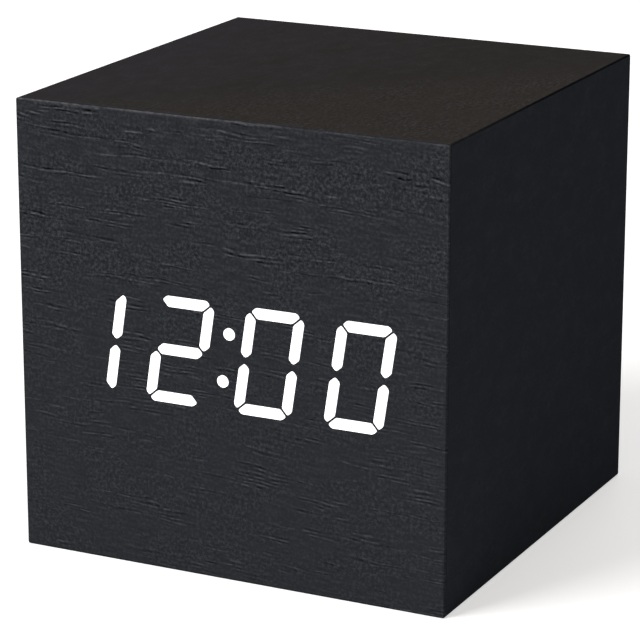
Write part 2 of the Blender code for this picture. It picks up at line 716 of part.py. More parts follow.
def make_ribbon():
    white = make_material("plug_plastic", (0.62, 0.61, 0.57), 0.45)
    body = [(rectangle(PLUG_WIDTH, PLUG_HEIGHT), 0),
            (rectangle(PLUG_WIDTH, PLUG_HEIGHT), PLUG_DEPTH - PLUG_LIP),
            (rectangle(PLUG_WIDTH - PLUG_LIP, PLUG_HEIGHT - PLUG_LIP), PLUG_DEPTH)]
    start = (RIBBON_X, MAIN_TOP_Y, RIBBON_Z)
    end = (RIBBON_X, KEY_BOARD_FRONT_Y - SEAT_GAP, KEY_Z)
    plug = add_piece("ribbon_plug_main", loft(body), white, start)
    add_copy("ribbon_plug_key", plug, end, (0, 0, math.pi))

    grey = make_material("ribbon_grey", (0.35, 0.35, 0.37), 0.5)
    section = ribbon_section()
    y_start = start[1] + PLUG_DEPTH + SEAT_GAP
    y_end = end[1] - PLUG_DEPTH - SEAT_GAP
    rings = []
    for step in range(RIBBON_STEPS + 1):
        share = step / RIBBON_STEPS
        point, along = eased_rise(share, y_start, y_end, start[2], end[2])
        normal = Vector((0, -along.z, along.y))
        rings.append([(across, point.y + normal.y * up, point.z + normal.z * up)
                      for across, up in section])
    add_piece("ribbon_cable", skinned(rings), grey, (RIBBON_X, 0, 0))


def ribbon_section():
    # Side by side round wires, joined at shallow grooves
    half = (RIBBON_WIRES - 1) / 2
    centres = [(index - half) * RIBBON_PITCH for index in range(RIBBON_WIRES)]
    radius = RIBBON_THICKNESS / 2
    angles = (math.radians(60), math.radians(120))
    top = [(centre - radius * math.cos(angle), radius * math.sin(angle))
           for centre in centres for angle in angles]
    return top + [(-across, -up) for across, up in top]


def eased_rise(share, y_start, y_end, z_start, z_end):
    # A cubic curve that leaves and arrives along Y
    handle = (y_end - y_start) * RIBBON_EASE_SHARE
    points = [Vector((0, y_start, z_start)), Vector((0, y_start + handle, z_start)),
              Vector((0, y_end - handle, z_end)), Vector((0, y_end, z_end))]
    rest = 1 - share
    point = (points[0] * rest ** 3 + points[1] * 3 * rest ** 2 * share
             + points[2] * 3 * rest * share ** 2 + points[3] * share ** 3)
    along = ((points[1] - points[0]) * rest ** 2 + (points[2] - points[1]) * 2 * rest * share
             + (points[3] - points[2]) * share ** 2)
    return point, along.normalized()


# Rear cover

def bay_outline(radius, rear_y, limit):
    # Round cradles side by side, open to the rear, as (y, z), each arc ending at the limit
    # angle where it meets the next
    points = []
    heights = cell_heights()
    for row, z in enumerate(heights):
        low = -limit if row else -math.pi / 2
        high = limit if row < CELL_ROWS - 1 else math.pi / 2
        for step in range(BAY_ARC_STEPS + 1):
            angle = low + (high - low) * step / BAY_ARC_STEPS
            point = (CELL_Y - radius * math.cos(angle), z + radius * math.sin(angle))
            if not points or math.dist(point, points[-1]) > SEAT_GAP / 2:
                points.append(point)
    points.append((rear_y, heights[-1] + radius))
    points.append((rear_y, heights[0] - radius))
    return points


def bay_inner_outline(rear_y):
    return bay_outline(BAY_RADIUS, rear_y, math.asin(CELL_PITCH / 2 / BAY_RADIUS))


def bay_outer_outline(rear_y):
    # The webs between the cradles stay deep enough to stand behind the contacts
    radius = BAY_RADIUS + BAY_WALL
    web = CONTACT_HEIGHT / 2 + SEAT_GAP + BAY_WEB_FLOOR
    return bay_outline(radius, rear_y, math.acos(web / radius))


def cell_heights():
    middle = (CELL_ROWS - 1) / 2
    return [BAY_Z + (row - middle) * CELL_PITCH for row in range(CELL_ROWS)]


def screw_places():
    return [(across * SCREW_OFFSET, up * SCREW_OFFSET) for up in (-1, 1) for across in (-1, 1)]


def key_places():
    return [KEY_FIRST_X + index * KEY_PITCH for index in range(len(KEY_NAMES))]


def contact_x():
    return BAY_WIDTH / 2 - SEAT_GAP - CONTACT_THICKNESS / 2


def contact_spans():
    # Each contact's name, its side of the bay, and the heights of its first and last cell
    low, middle, high = cell_heights()
    return [("battery_contact_positive", -1, low, low), ("battery_bridge_right", 1, low, middle),
            ("battery_bridge_left", -1, middle, high), ("battery_contact_negative", 1, high, high)]


def make_rear_cover():
    black = make_material("cover_black", (0.022, 0.022, 0.023), 0.5)
    plate = rounded_rectangle(COVER_SIZE, COVER_SIZE, COVER_CORNER)
    cover = add_piece("rear_cover", prism(plate, COVER_FRONT_Y, COVER_BACK_Y), black)
    bay_half = BAY_WIDTH / 2
    middle_y = (COVER_FRONT_Y + COVER_BACK_Y) / 2
    add_to(cover, prism_across(bay_outer_outline(middle_y), -bay_half - BAY_WALL,
                               bay_half + BAY_WALL))
    bosses = [moved(cylinder(BOSS_DIAMETER, KEY_BOARD_BACK_Y + SEAT_GAP, middle_y), x, 0, KEY_Z)
              for x in (-BOSS_X, BOSS_X)]
    add_to(cover, gathered(bosses))
    rib_top = BAY_Z - BAY_HEIGHT / 2 - BAY_WALL / 2
    ribs = [block((x - RIB_THICKNESS / 2, x + RIB_THICKNESS / 2),
                  (COVER_FRONT_Y - RIB_HEIGHT, middle_y), (-COVER_SIZE / 2 + COVER_CORNER, rib_top))
            for x in (-RIB_X, RIB_X)]
    add_to(cover, gathered(ribs))
    back = COVER_BACK_Y + CUT_OVERRUN
    cut_from(cover, prism_across(bay_inner_outline(back), -bay_half, bay_half))
    ledge_y = COVER_FRONT_Y - SEAT_GAP
    door_hole = rectangle(BAY_WIDTH + 2 * DOOR_LEDGE, BAY_HEIGHT + 2 * DOOR_LEDGE)
    cut_from(cover, prism(shifted(door_hole, 0, BAY_Z), ledge_y, back))
    cut_door_seats(cover, ledge_y, back)
    cut_cover_holes(cover, back)


def cut_door_seats(cover, ledge_y, back):
    door_bottom = BAY_Z - DOOR_HEIGHT / 2
    notch_half = DOOR_TAB_WIDTH / 2 + SEAT_GAP
    notches = [block((x - notch_half, x + notch_half), (ledge_y, back),
                     (door_bottom - DOOR_TAB_REACH - SEAT_GAP, door_bottom + DOOR_LEDGE))
               for x in (-DOOR_TAB_X, DOOR_TAB_X)]
    cut_from(cover, gathered(notches))
    door_top = BAY_Z + DOOR_HEIGHT / 2
    scoop = turned([(0, 0), (THUMB_SCOOP_RADIUS - THUMB_SCOOP_DEPTH, 0),
                    (THUMB_SCOOP_RADIUS, THUMB_SCOOP_DEPTH),
                    (THUMB_SCOOP_RADIUS, THUMB_SCOOP_DEPTH + CUT_OVERRUN),
                    (0, THUMB_SCOOP_DEPTH + CUT_OVERRUN)], ROUND_SIDES)
    cut_from(cover, moved(scoop, 0, COVER_BACK_Y - THUMB_SCOOP_DEPTH,
                          door_top - THUMB_SCOOP_RADIUS / 2))
    cut_contact_seats(cover, back)


def cut_contact_seats(cover, back):
    # Pockets in the cradles' ends, and slots in the bay's floor for the two soldering tags
    heights = cell_heights()
    half_height = CONTACT_HEIGHT / 2 + SEAT_GAP
    half_width = CONTACT_WIDTH / 2 + SEAT_GAP
    inner = contact_x() - CONTACT_THICKNESS / 2 - SEAT_GAP
    pockets = []
    for name, side, low, high in contact_spans():
        x_range = (inner, BAY_WIDTH / 2) if side > 0 else (-BAY_WIDTH / 2, -inner)
        pockets.append(block(x_range, (CELL_Y - half_height, back),
                             (low - half_width, high + half_width)))
    cut_from(cover, gathered(pockets))
    slot_half = TAG_WIDTH / 2 + SEAT_GAP
    slot_wide = CONTACT_THICKNESS / 2 + SEAT_GAP
    slots = [block((x - slot_wide, x + slot_wide), (BAY_FLOOR_Y - CUT_OVERRUN, CELL_Y),
                   (z - slot_half, z + slot_half))
             for x, z in ((-contact_x(), heights[0]), (contact_x(), heights[-1]))]
    cut_from(cover, gathered(slots))


def cut_cover_holes(cover, back):
    front = COVER_FRONT_Y - CUT_OVERRUN
    key_hole = KEY_DIAMETER + 2 * KEY_CLEARANCE
    holes = [moved(cylinder(key_hole, front, back, ROUND_SIDES), x, 0, KEY_Z)
             for x in key_places()]
    holes.append(moved(cylinder(MICROPHONE_PORT, front, back), MICROPHONE_X, 0, KEY_Z))
    collar_hole = SOCKET_COLLAR + 2 * SEAT_GAP
    holes.append(moved(cylinder(collar_hole, front, back, ROUND_SIDES), SOCKET_X, 0, KEY_Z))
    pilot = BOARD_SCREW_SHAFT + 2 * THREAD_GAP
    boss_front = KEY_BOARD_BACK_Y - CUT_OVERRUN
    pilot_end = KEY_BOARD_FRONT_Y + BOARD_SCREW_LENGTH + SEAT_GAP
    holes.extend(moved(cylinder(pilot, boss_front, pilot_end), x, 0, KEY_Z)
                 for x in (-BOSS_X, BOSS_X))
    shaft_hole = COVER_SCREW_SHAFT + 2 * SEAT_GAP
    head_hole = COVER_SCREW_HEAD + 2 * SEAT_GAP
    for x, z in screw_places():
        step = COVER_BACK_Y - COUNTERBORE_DEPTH
        profile = [(0, front), (shaft_hole / 2, front), (shaft_hole / 2, step),
                   (head_hole / 2, step), (head_hole / 2, back), (0, back)]
        holes.append(moved(turned(profile, SMALL_SIDES), x, 0, z))
    first = -(SOUND_SLOTS - 1) / 2 * SOUND_SLOT_PITCH
    slot_z = BLOCK_SIZE / 2 - COVER_SIZE / 2
    slot = rounded_rectangle(SOUND_SLOT_WIDTH, SOUND_SLOT_HEIGHT, SOUND_SLOT_WIDTH / 3)
    holes.extend(prism(shifted(slot, first + index * SOUND_SLOT_PITCH, slot_z), front, back)
                 for index in range(SOUND_SLOTS))
    cut_from(cover, gathered(holes))


def make_blocks_and_screws():
    board = make_material("raw_board", (0.30, 0.20, 0.11), 0.85)
    steel = make_material("screw_steel", (0.50, 0.50, 0.51), 0.3, 1.0)
    rear = COVER_FRONT_Y - SEAT_GAP
    half = BLOCK_SIZE / 2
    # The corner that faces the middle of the case is taken off
    outline = [(-half, -half), (half, -half), (half, half - BLOCK_CHAMFER),
               (half - BLOCK_CHAMFER, half), (-half, half)]
    head_top = COVER_BACK_Y - COUNTERBORE_DEPTH + SEAT_GAP
    names = ("lower_left", "lower_right", "upper_left", "upper_right")
    centre = COVER_SIZE / 2 - BLOCK_SIZE / 2
    screw = None
    for name, (x, z) in zip(names, screw_places()):
        side = math.copysign(1, -x)
        rise = math.copysign(1, -z)
        points = [(a * side, b * rise) for a, b in outline]
        glued = add_piece(f"corner_block_{name}", prism(points, rear - BLOCK_LENGTH, rear), board,
                          (math.copysign(centre, x), 0, math.copysign(centre, z)))
        pilot = cylinder(COVER_SCREW_SHAFT + 2 * THREAD_GAP, rear - BLOCK_LENGTH - CUT_OVERRUN,
                         rear + CUT_OVERRUN)
        cut_from(glued, moved(pilot, x - math.copysign(centre, x), 0,
                              z - math.copysign(centre, z)))
        if screw is None:
            screw = add_piece(f"cover_screw_{name}",
                              screw_mesh(COVER_SCREW_SHAFT, COVER_SCREW_LENGTH,
                                         COVER_SCREW_HEAD, COVER_SCREW_HEAD_HEIGHT), steel,
                              (x, head_top, z))
        else:
            add_copy(f"cover_screw_{name}", screw, (x, head_top, z))


def screw_mesh(shaft, length, head, head_height):
    # The head stands on y = 0 towards +Y, and the shaft points along -Y
    radius = shaft / 2
    edge = head_height / 3
    profile = [(0, -length), (radius / 3, -length), (radius, radius - length), (radius, 0),
               (head / 2, 0), (head / 2, head_height - edge), (head / 2 - edge, head_height),
               (0, head_height)]
    return turned(profile, SMALL_SIDES)


# Battery bay contents

def make_cells():
    wrap = make_material("cell_wrap", (0.02, 0.02, 0.022), 0.35)
    radius = CELL_DIAMETER / 2
    nub = CELL_NUB_DIAMETER / 2
    shoulder = CELL_LENGTH - CELL_NUB_HEIGHT
    profile = [(0, CELL_DISH), (radius - 2 * CELL_EDGE, CELL_DISH), (radius - 2 * CELL_EDGE, 0),
               (radius - CELL_EDGE, 0), (radius, CELL_EDGE), (radius, shoulder - CELL_EDGE),
               (radius - CELL_EDGE, shoulder), (nub, shoulder), (nub, CELL_LENGTH),
               (0, CELL_LENGTH)]
    start = BAY_WIDTH / 2 - SPRING_LENGTH - 3 * SEAT_GAP - CONTACT_THICKNESS
    first = None
    for row, z in enumerate(cell_heights()):
        side = spring_side(row)
        # The flat end faces the spring, and the nub faces the other wall
        place = (side * start, CELL_Y, z)
        turn = (0, 0, side * math.pi / 2)
        name = f"battery_{row + 1}"
        if first is None:
            first = add_piece(name, turned(profile, CELL_SIDES), wrap, place, turn)
        else:
            add_copy(name, first, place, turn)


def spring_side(row):
    # Cells lie head to tail, so the springs are at the right, left and right
    return 1 if row % 2 == 0 else -1


def spring_points():
    steps = SPRING_TURNS * SPRING_POINTS_PER_TURN
    run = SPRING_LENGTH - SPRING_WIRE
    points = []
    for step in range(steps + 1):
        share = step / steps
        angle = share * SPRING_TURNS * math.tau
        radius = SPRING_BASE_RADIUS + (SPRING_TIP_RADIUS - SPRING_BASE_RADIUS) * share
        points.append(Vector((radius * math.cos(angle), SPRING_WIRE / 2 + run * share,
                              radius * math.sin(angle))))
    return points


def least_spring_gap(points):
    nearest = min((points[i] - points[j]).length for i in range(len(points))
                  for j in range(i + SPRING_POINTS_PER_TURN // 2, len(points)))
    return nearest - SPRING_WIRE


def tube(name, points, radius, material, place, turn=(0, 0, 0)):
    curve = bpy.data.curves.new(name, "CURVE")
    curve.dimensions = "3D"
    spline = curve.splines.new("POLY")
    spline.points.add(len(points) - 1)
    for target, point in zip(spline.points, points):
        target.co = (*point, 1)
    curve.bevel_depth = radius
    curve.bevel_resolution = 1
    curve.use_fill_caps = True
    curve.materials.append(material)
    piece = bpy.data.objects.new(name, curve)
    bpy.context.scene.collection.objects.link(piece)
    piece.location = (place[0], place[1], place[2] + HALF)
    piece.rotation_euler = turn
    return piece


def make_springs():
    nickel = make_material("spring_nickel", (0.62, 0.60, 0.56), 0.25, 1.0)
    points = spring_points()
    print(f"least gap between spring turns: {least_spring_gap(points):.5f} m")
    base = BAY_WIDTH / 2 - 2 * SEAT_GAP - CONTACT_THICKNESS
    for row, z in enumerate(cell_heights()):
        side = spring_side(row)
        tube(f"battery_spring_{row + 1}", points, SPRING_WIRE / 2, nickel,
             (side * base, CELL_Y, z), (0, 0, side * math.pi / 2))


def make_contacts():
    nickel = make_material("contact_nickel", (0.60, 0.59, 0.55), 0.3, 1.0)
    half = CONTACT_WIDTH / 2
    y_front = CELL_Y - CONTACT_HEIGHT / 2
    y_back = CELL_Y + CONTACT_HEIGHT / 2
    tag_front = BAY_FLOOR_Y - TAG_REACH
    thick = (-CONTACT_THICKNESS / 2, CONTACT_THICKNESS / 2)
    for name, side, low, high in contact_spans():
        place = (side * contact_x(), 0, 0)
        plate = block(thick, (y_front, y_back), (low - half, high + half))
        contact = add_piece(name, plate, nickel, place)
        if low == high:
            add_to(contact, block(thick, (tag_front, CELL_Y),
                                  (low - TAG_WIDTH / 2, low + TAG_WIDTH / 2)))


def make_leads():
    red = make_material("lead_red", (0.35, 0.01, 0.01), 0.4)
    black = make_material("lead_black", (0.015, 0.015, 0.015), 0.4)
    heights = cell_heights()
    start_y = BAY_FLOOR_Y - TAG_REACH - SEAT_GAP
    run_y = BAY_FLOOR_Y - LEAD_RADIUS - LEAD_CLEAR - LEAD_DROP
    end_y = KEY_BOARD_FRONT_Y - SEAT_GAP
    turn_z = BAY_Z + BAY_HEIGHT / 2 + BAY_WALL + LEAD_CLEAR + LEAD_RADIUS
    for name, side, z, material in (("battery_lead_positive", -1, heights[0], red),
                                    ("battery_lead_negative", 1, heights[-1], black)):
        x = side * contact_x()
        end_x = side * LEAD_BOARD_X
        rise = (turn_z - z) / 2
        route = [Vector((x, start_y, z)), Vector((x, start_y - LEAD_DROP, z)),
                 Vector((x, run_y - LEAD_DROP, z + rise)),
                 Vector(((x + end_x) / 2, run_y, turn_z)),
                 Vector((end_x, end_y - 2 * LEAD_DROP, KEY_Z)), Vector((end_x, end_y, KEY_Z))]
        tube(name, smooth_route(route, LEAD_STEPS), LEAD_RADIUS, material, (0, 0, 0))


def smooth_route(route, steps):
    # A curve through the route's points, whose ends run straight on
    spread = [route[0] * 2 - route[1], *route, route[-1] * 2 - route[-2]]
    points = []
    for step in range(steps + 1):
        place = step / steps * (len(route) - 1)
        index = min(int(place), len(route) - 2)
        t = place - index
        a, b, c, d = spread[index:index + 4]
        points.append(((b * 2) + (c - a) * t + (a * 2 - b * 5 + c * 4 - d) * t ** 2
                       + (b * 3 - a - c * 3 + d) * t ** 3) / 2)
    return points


# Battery door

def make_door():
    black = make_material("door_black", (0.022, 0.022, 0.023), 0.5)
    face = rounded_rectangle(DOOR_WIDTH - 2 * DOOR_EDGE, DOOR_HEIGHT - 2 * DOOR_EDGE,
                             DOOR_CORNER - DOOR_EDGE)
    outline = rounded_rectangle(DOOR_WIDTH, DOOR_HEIGHT, DOOR_CORNER)
    door = add_piece("battery_door",
                     loft([(outline, COVER_FRONT_Y), (outline, COVER_BACK_Y - DOOR_EDGE),
                           (face, COVER_BACK_Y)]), black, (0, 0, BAY_Z))
    half_tab = DOOR_TAB_WIDTH / 2
    bottom = -DOOR_HEIGHT / 2
    tabs = [block((x - half_tab, x + half_tab),
                  (COVER_FRONT_Y, COVER_FRONT_Y + DOOR_TAB_THICKNESS),
                  (bottom - DOOR_TAB_REACH, bottom + DOOR_TAB_REACH))
            for x in (-DOOR_TAB_X, DOOR_TAB_X)]
    add_to(door, gathered(tabs))
    top = DOOR_HEIGHT / 2
    slit_x = (LATCH_WIDTH + LATCH_SLIT) / 2
    depth = (COVER_FRONT_Y - CUT_OVERRUN, COVER_BACK_Y + CUT_OVERRUN)
    slits = [block((x - LATCH_SLIT / 2, x + LATCH_SLIT / 2), depth,
                   (top - LATCH_LENGTH, top + CUT_OVERRUN)) for x in (-slit_x, slit_x)]
    cut_from(door, gathered(slits))
    ridge_back = COVER_BACK_Y + LATCH_RIDGE_HEIGHT
    half_ridge = LATCH_RIDGE_WIDTH / 2
    half_thick = LATCH_RIDGE_THICKNESS / 2
    ridges = []
    for index in range(LATCH_RIDGES):
        z = top - (index + 1) * LATCH_RIDGE_PITCH
        ridges.append(block((-half_ridge, half_ridge), (COVER_FRONT_Y + DOOR_EDGE, ridge_back),
                            (z - half_thick, z + half_thick)))
    add_to(door, gathered(ridges))


# Key board

def make_key_board():
    green = make_material("key_board_green", (0.010, 0.060, 0.025), 0.4)
    outline = rounded_rectangle(KEY_BOARD_WIDTH, KEY_BOARD_HEIGHT, BOARD_CORNER)
    board = add_piece("key_board", prism(outline, KEY_BOARD_FRONT_Y, KEY_BOARD_BACK_Y), green,
                      (0, 0, KEY_Z))
    hole = BOARD_SCREW_SHAFT + 2 * SEAT_GAP
    holes = [moved(cylinder(hole, KEY_BOARD_FRONT_Y - CUT_OVERRUN,
                            KEY_BOARD_BACK_Y + CUT_OVERRUN), x, 0, 0)
             for x in (-BOSS_X, BOSS_X)]
    cut_from(board, gathered(holes))
    steel = make_material("board_screw_steel", (0.50, 0.50, 0.51), 0.3, 1.0)
    head_y = KEY_BOARD_FRONT_Y - SEAT_GAP
    screw = add_piece("board_screw_left",
                      screw_mesh(BOARD_SCREW_SHAFT, BOARD_SCREW_LENGTH, BOARD_SCREW_HEAD,
                                 BOARD_SCREW_HEAD_HEIGHT), steel,
                      (-BOSS_X, head_y, KEY_Z), (0, 0, math.pi))
    add_copy("board_screw_right", screw, (BOSS_X, head_y, KEY_Z), (0, 0, math.pi))
    make_keys()
    make_microphone()
    make_socket()
    make_capacitor()


def make_keys():
    cap_black = make_material("key_black", (0.030, 0.030, 0.031), 0.4)
    switch_black = make_material("switch_black", (0.020, 0.020, 0.021), 0.45)
    plunger_white = make_material("plunger_white", (0.60, 0.60, 0.58), 0.45)
    radius = KEY_DIAMETER / 2
    flange = KEY_FLANGE_DIAMETER / 2
    foot = KEY_FOOT_DIAMETER / 2
    top = COVER_BACK_Y + KEY_STAND
    # The key's own origin is at the top of its foot, on its axis
    cap_profile = [(0, 0), (foot, 0), (foot, KEY_FOOT), (flange, KEY_FOOT),
                   (flange, KEY_FOOT + KEY_FLANGE_THICKNESS),
                   (radius, KEY_FOOT + KEY_FLANGE_THICKNESS), (radius, top - KEY_FOOT_Y - KEY_EDGE),
                   (radius - KEY_EDGE, top - KEY_FOOT_Y), (0, top - KEY_FOOT_Y)]
    plunger = PLUNGER_DIAMETER / 2
    plunger_length = SWITCH_HEIGHT - SWITCH_BODY_HEIGHT + PLUNGER_ROOT
    plunger_profile = [(0, 0), (plunger, 0), (plunger, plunger_length - KEY_EDGE),
                       (plunger - KEY_EDGE, plunger_length), (0, plunger_length)]
    well = PLUNGER_DIAMETER + 2 * PLUNGER_CLEARANCE
    first = {}
    for name, x in zip(KEY_NAMES, key_places()):
        cap_place = (x, KEY_FOOT_Y, KEY_Z)
        plunger_place = (x, SWITCH_BASE_Y + SWITCH_BODY_HEIGHT - PLUNGER_ROOT, KEY_Z)
        switch_place = (x, SWITCH_BASE_Y, KEY_Z)
        if not first:
            first["cap"] = add_piece(f"{name}_button", turned(cap_profile, ROUND_SIDES),
                                     cap_black, cap_place)
            first["plunger"] = add_piece(f"{name}_switch_plunger",
                                         turned(plunger_profile, SMALL_SIDES), plunger_white,
                                         plunger_place)
            outline = round_corners(rectangle(SWITCH_SIZE, SWITCH_SIZE), [SWITCH_EDGE] * 4)
            switch = add_piece(f"{name}_switch_body", prism(outline, 0, SWITCH_BODY_HEIGHT),
                               switch_black, switch_place)
            cut_from(switch, cylinder(well, SWITCH_BODY_HEIGHT - PLUNGER_WELL,
                                      SWITCH_BODY_HEIGHT + CUT_OVERRUN))
            first["switch"] = switch
        else:
            add_copy(f"{name}_button", first["cap"], cap_place)
            add_copy(f"{name}_switch_plunger", first["plunger"], plunger_place)
            add_copy(f"{name}_switch_body", first["switch"], switch_place)


def make_microphone():
    can = make_material("microphone_can", (0.50, 0.50, 0.50), 0.35, 1.0)
    radius = MICROPHONE_DIAMETER / 2
    port = MICROPHONE_PORT / 2
    profile = [(0, 0), (radius, 0), (radius, MICROPHONE_HEIGHT - MICROPHONE_EDGE),
               (radius - MICROPHONE_EDGE, MICROPHONE_HEIGHT), (port, MICROPHONE_HEIGHT),
               (port, MICROPHONE_HEIGHT - MICROPHONE_EDGE),
               (0, MICROPHONE_HEIGHT - MICROPHONE_EDGE)]
    add_piece("microphone", turned(profile, ROUND_SIDES), can,
              (MICROPHONE_X, SWITCH_BASE_Y, KEY_Z))


def make_socket():
    black = make_material("socket_black", (0.015, 0.015, 0.016), 0.45)
    brass = make_material("socket_brass", (0.65, 0.50, 0.25), 0.3, 1.0)
    body_back = COVER_FRONT_Y - SEAT_GAP
    half = SOCKET_SIZE / 2
    socket = add_piece("dc_socket", block((-half, half), (SWITCH_BASE_Y, body_back),
                                          (-half, half)), black, (SOCKET_X, 0, KEY_Z))
    add_to(socket, cylinder(SOCKET_COLLAR, SWITCH_BASE_Y + half, COVER_BACK_Y, ROUND_SIDES))
    bore_floor = COVER_BACK_Y - SOCKET_BORE_DEPTH
    cut_from(socket, cylinder(SOCKET_BORE, bore_floor, COVER_BACK_Y + CUT_OVERRUN, ROUND_SIDES))
    radius = SOCKET_PIN / 2
    length = SOCKET_BORE_DEPTH - SEAT_GAP - SOCKET_PIN_SHORT
    profile = [(0, 0), (radius, 0), (radius, length - radius), (radius / 2, length), (0, length)]
    add_piece("dc_socket_pin", turned(profile, SMALL_SIDES), brass,
              (SOCKET_X, bore_floor + SEAT_GAP, KEY_Z))


def make_capacitor():
    sleeve = make_material("capacitor_sleeve", (0.02, 0.03, 0.08), 0.4)
    radius = CAPACITOR_DIAMETER / 2
    neck = radius - CAPACITOR_GROOVE
    profile = [(0, 0), (radius, 0), (radius, CAPACITOR_GROOVE), (neck, 3 * CAPACITOR_GROOVE),
               (radius, 5 * CAPACITOR_GROOVE), (radius, CAPACITOR_LENGTH - CAPACITOR_GROOVE),
               (neck, CAPACITOR_LENGTH), (0, CAPACITOR_LENGTH)]
    add_piece("filter_capacitor", turned(profile, ROUND_SIDES), sleeve,
              (CAPACITOR_X, KEY_BOARD_FRONT_Y - SEAT_GAP, KEY_Z), (0, 0, math.pi))


clear_scene()
make_case()
make_display()
make_main_board()
make_ribbon()
make_rear_cover()
make_blocks_and_screws()
make_cells()
make_springs()
make_contacts()
make_leads()
make_door()
make_key_board()
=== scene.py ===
import json
from math import atan2, cos, pi, radians, sin, tau

import bmesh
import bpy
from mathutils import Matrix, Vector


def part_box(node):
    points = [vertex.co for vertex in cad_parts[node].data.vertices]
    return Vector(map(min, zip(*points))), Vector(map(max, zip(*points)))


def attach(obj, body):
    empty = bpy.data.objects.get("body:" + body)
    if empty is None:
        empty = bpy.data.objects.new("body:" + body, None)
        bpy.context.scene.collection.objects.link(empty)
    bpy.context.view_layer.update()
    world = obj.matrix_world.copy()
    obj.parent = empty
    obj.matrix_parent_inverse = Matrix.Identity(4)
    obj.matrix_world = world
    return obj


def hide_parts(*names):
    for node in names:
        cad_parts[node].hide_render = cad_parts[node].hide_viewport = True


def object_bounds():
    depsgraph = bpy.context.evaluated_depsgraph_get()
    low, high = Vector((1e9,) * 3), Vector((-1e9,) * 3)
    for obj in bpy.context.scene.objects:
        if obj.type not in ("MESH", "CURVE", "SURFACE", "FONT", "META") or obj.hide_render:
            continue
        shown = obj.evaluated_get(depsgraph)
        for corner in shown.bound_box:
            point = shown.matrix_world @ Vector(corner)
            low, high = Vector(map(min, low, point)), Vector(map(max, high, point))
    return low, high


# Cube alarm clock in a black wood-grain case. Lengths are in metres, the front looks along -Y.

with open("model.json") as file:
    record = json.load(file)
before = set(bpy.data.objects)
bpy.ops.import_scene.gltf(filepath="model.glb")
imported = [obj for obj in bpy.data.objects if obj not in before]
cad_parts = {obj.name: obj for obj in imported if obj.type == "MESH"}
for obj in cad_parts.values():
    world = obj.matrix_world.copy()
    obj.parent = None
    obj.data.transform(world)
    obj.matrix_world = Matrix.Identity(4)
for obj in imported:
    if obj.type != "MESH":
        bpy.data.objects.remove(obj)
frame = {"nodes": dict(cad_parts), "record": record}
nodes = frame["nodes"]
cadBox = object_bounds()
print("frame loaded,", len(nodes), "nodes")

cubeLow, cubeHigh = cadBox
halfWidth = cubeHigh.x
cubeTop = cubeHigh.z
frontFace = cubeLow.y
rearFace = cubeHigh.y
millimetre = 0.001
hair = 0.00001  # corners that differ by less are level
faceTurn = 0.7  # a face looks along an axis if its normal has more than this along it


# Shader nodes. What feeds a socket is a number, a colour or another node's output

tree = None  # the tree that is being drawn: a group's, a material's or the world's


def plug(socket, value):
    if isinstance(value, bpy.types.NodeSocket):
        tree.links.new(value, socket)
    else:
        socket.default_value = value


def addNode(kind, feeds, **settings):
    node = tree.nodes.new("ShaderNode" + kind)
    for name, value in settings.items():
        setattr(node, name, value)
    for name, value in feeds.items():
        plug(node.inputs[name], value)
    return node


def calc(operation, *values, clamp=False):
    node = addNode("Math", dict(enumerate(values)), operation=operation, use_clamp=clamp)
    return node.outputs[0]


def times(first, second):
    return calc("MULTIPLY", first, second)


def minus(first, second):
    return calc("SUBTRACT", first, second)


def absolute(value):
    return calc("ABSOLUTE", value)


def ramp(value, low, high, lowOut=0.0, highOut=1.0):
    node = addNode("MapRange", {"Value": value, "From Min": low, "From Max": high,
                                "To Min": lowOut, "To Max": highOut},
                   interpolation_type="SMOOTHSTEP")
    return node.outputs["Result"]


def rampOver(place, length, low, high, lowOut=0.0, highOut=1.0):
    # Low and high are shares of the length
    return ramp(place, low * length, high * length, lowOut, highOut)


def noise(point, scale, detail=0.0, roughness=0.5, *steps):
    # Steps are the range of the noise that is used, and what its ends become
    node = addNode("TexNoise", {"Vector": point, "Scale": scale, "Detail": detail,
                                "Roughness": roughness})
    return ramp(node.outputs["Fac"], *steps) if steps else node.outputs["Fac"]


def axes(vector):
    return addNode("SeparateXYZ", {"Vector": vector}).outputs


def joined(x=0.0, y=0.0, z=0.0):
    return addNode("CombineXYZ", {"X": x, "Y": y, "Z": z}).outputs["Vector"]


def scaled(point, factors):
    return addNode("VectorMath", {0: point, 1: factors}, operation="MULTIPLY").outputs["Vector"]


def shifted(point, x=0.0, y=0.0, z=0.0):
    return addNode("VectorMath", {0: point, 1: joined(x, y, z)},
                   operation="ADD").outputs["Vector"]


def distance(point):
    return addNode("VectorMath", {0: point}, operation="LENGTH").outputs["Value"]


def surfacePoint():
    return addNode("TexCoord", {}).outputs["Object"]


def surfaceFacing():
    return axes(addNode("TexCoord", {}).outputs["Normal"])


def inMillimetres(point):
    return scaled(point, (1 / millimetre,) * 3)


def blendMixed(kind, first, share, low, high):
    # A Mix node has a set of sockets for each kind of data, and "first" is the set's first one
    node = addNode("Mix", {}, data_type=kind)
    for index, value in ((0, share), (first, low), (first + 1, high)):
        plug(node.inputs[index], value)
    return node.outputs[first // 2 - 1]


def blendColour(share, low, high):
    return blendMixed("RGBA", 6, share, low, high)


def blendVector(share, low, high):
    return blendMixed("VECTOR", 4, share, low, high)


def colour(red, green, blue):
    return (red, green, blue, 1.0)


def startGroup(name, inputs, outputs):
    global tree
    tree = bpy.data.node_groups.new(name, "ShaderNodeTree")
    for way, sockets in (("INPUT", inputs), ("OUTPUT", outputs)):
        for label, kind in sockets.items():
            tree.interface.new_socket(name=label, in_out=way, socket_type="NodeSocket" + kind)
    return tree.nodes.new("NodeGroupInput").outputs, tree.nodes.new("NodeGroupOutput").inputs


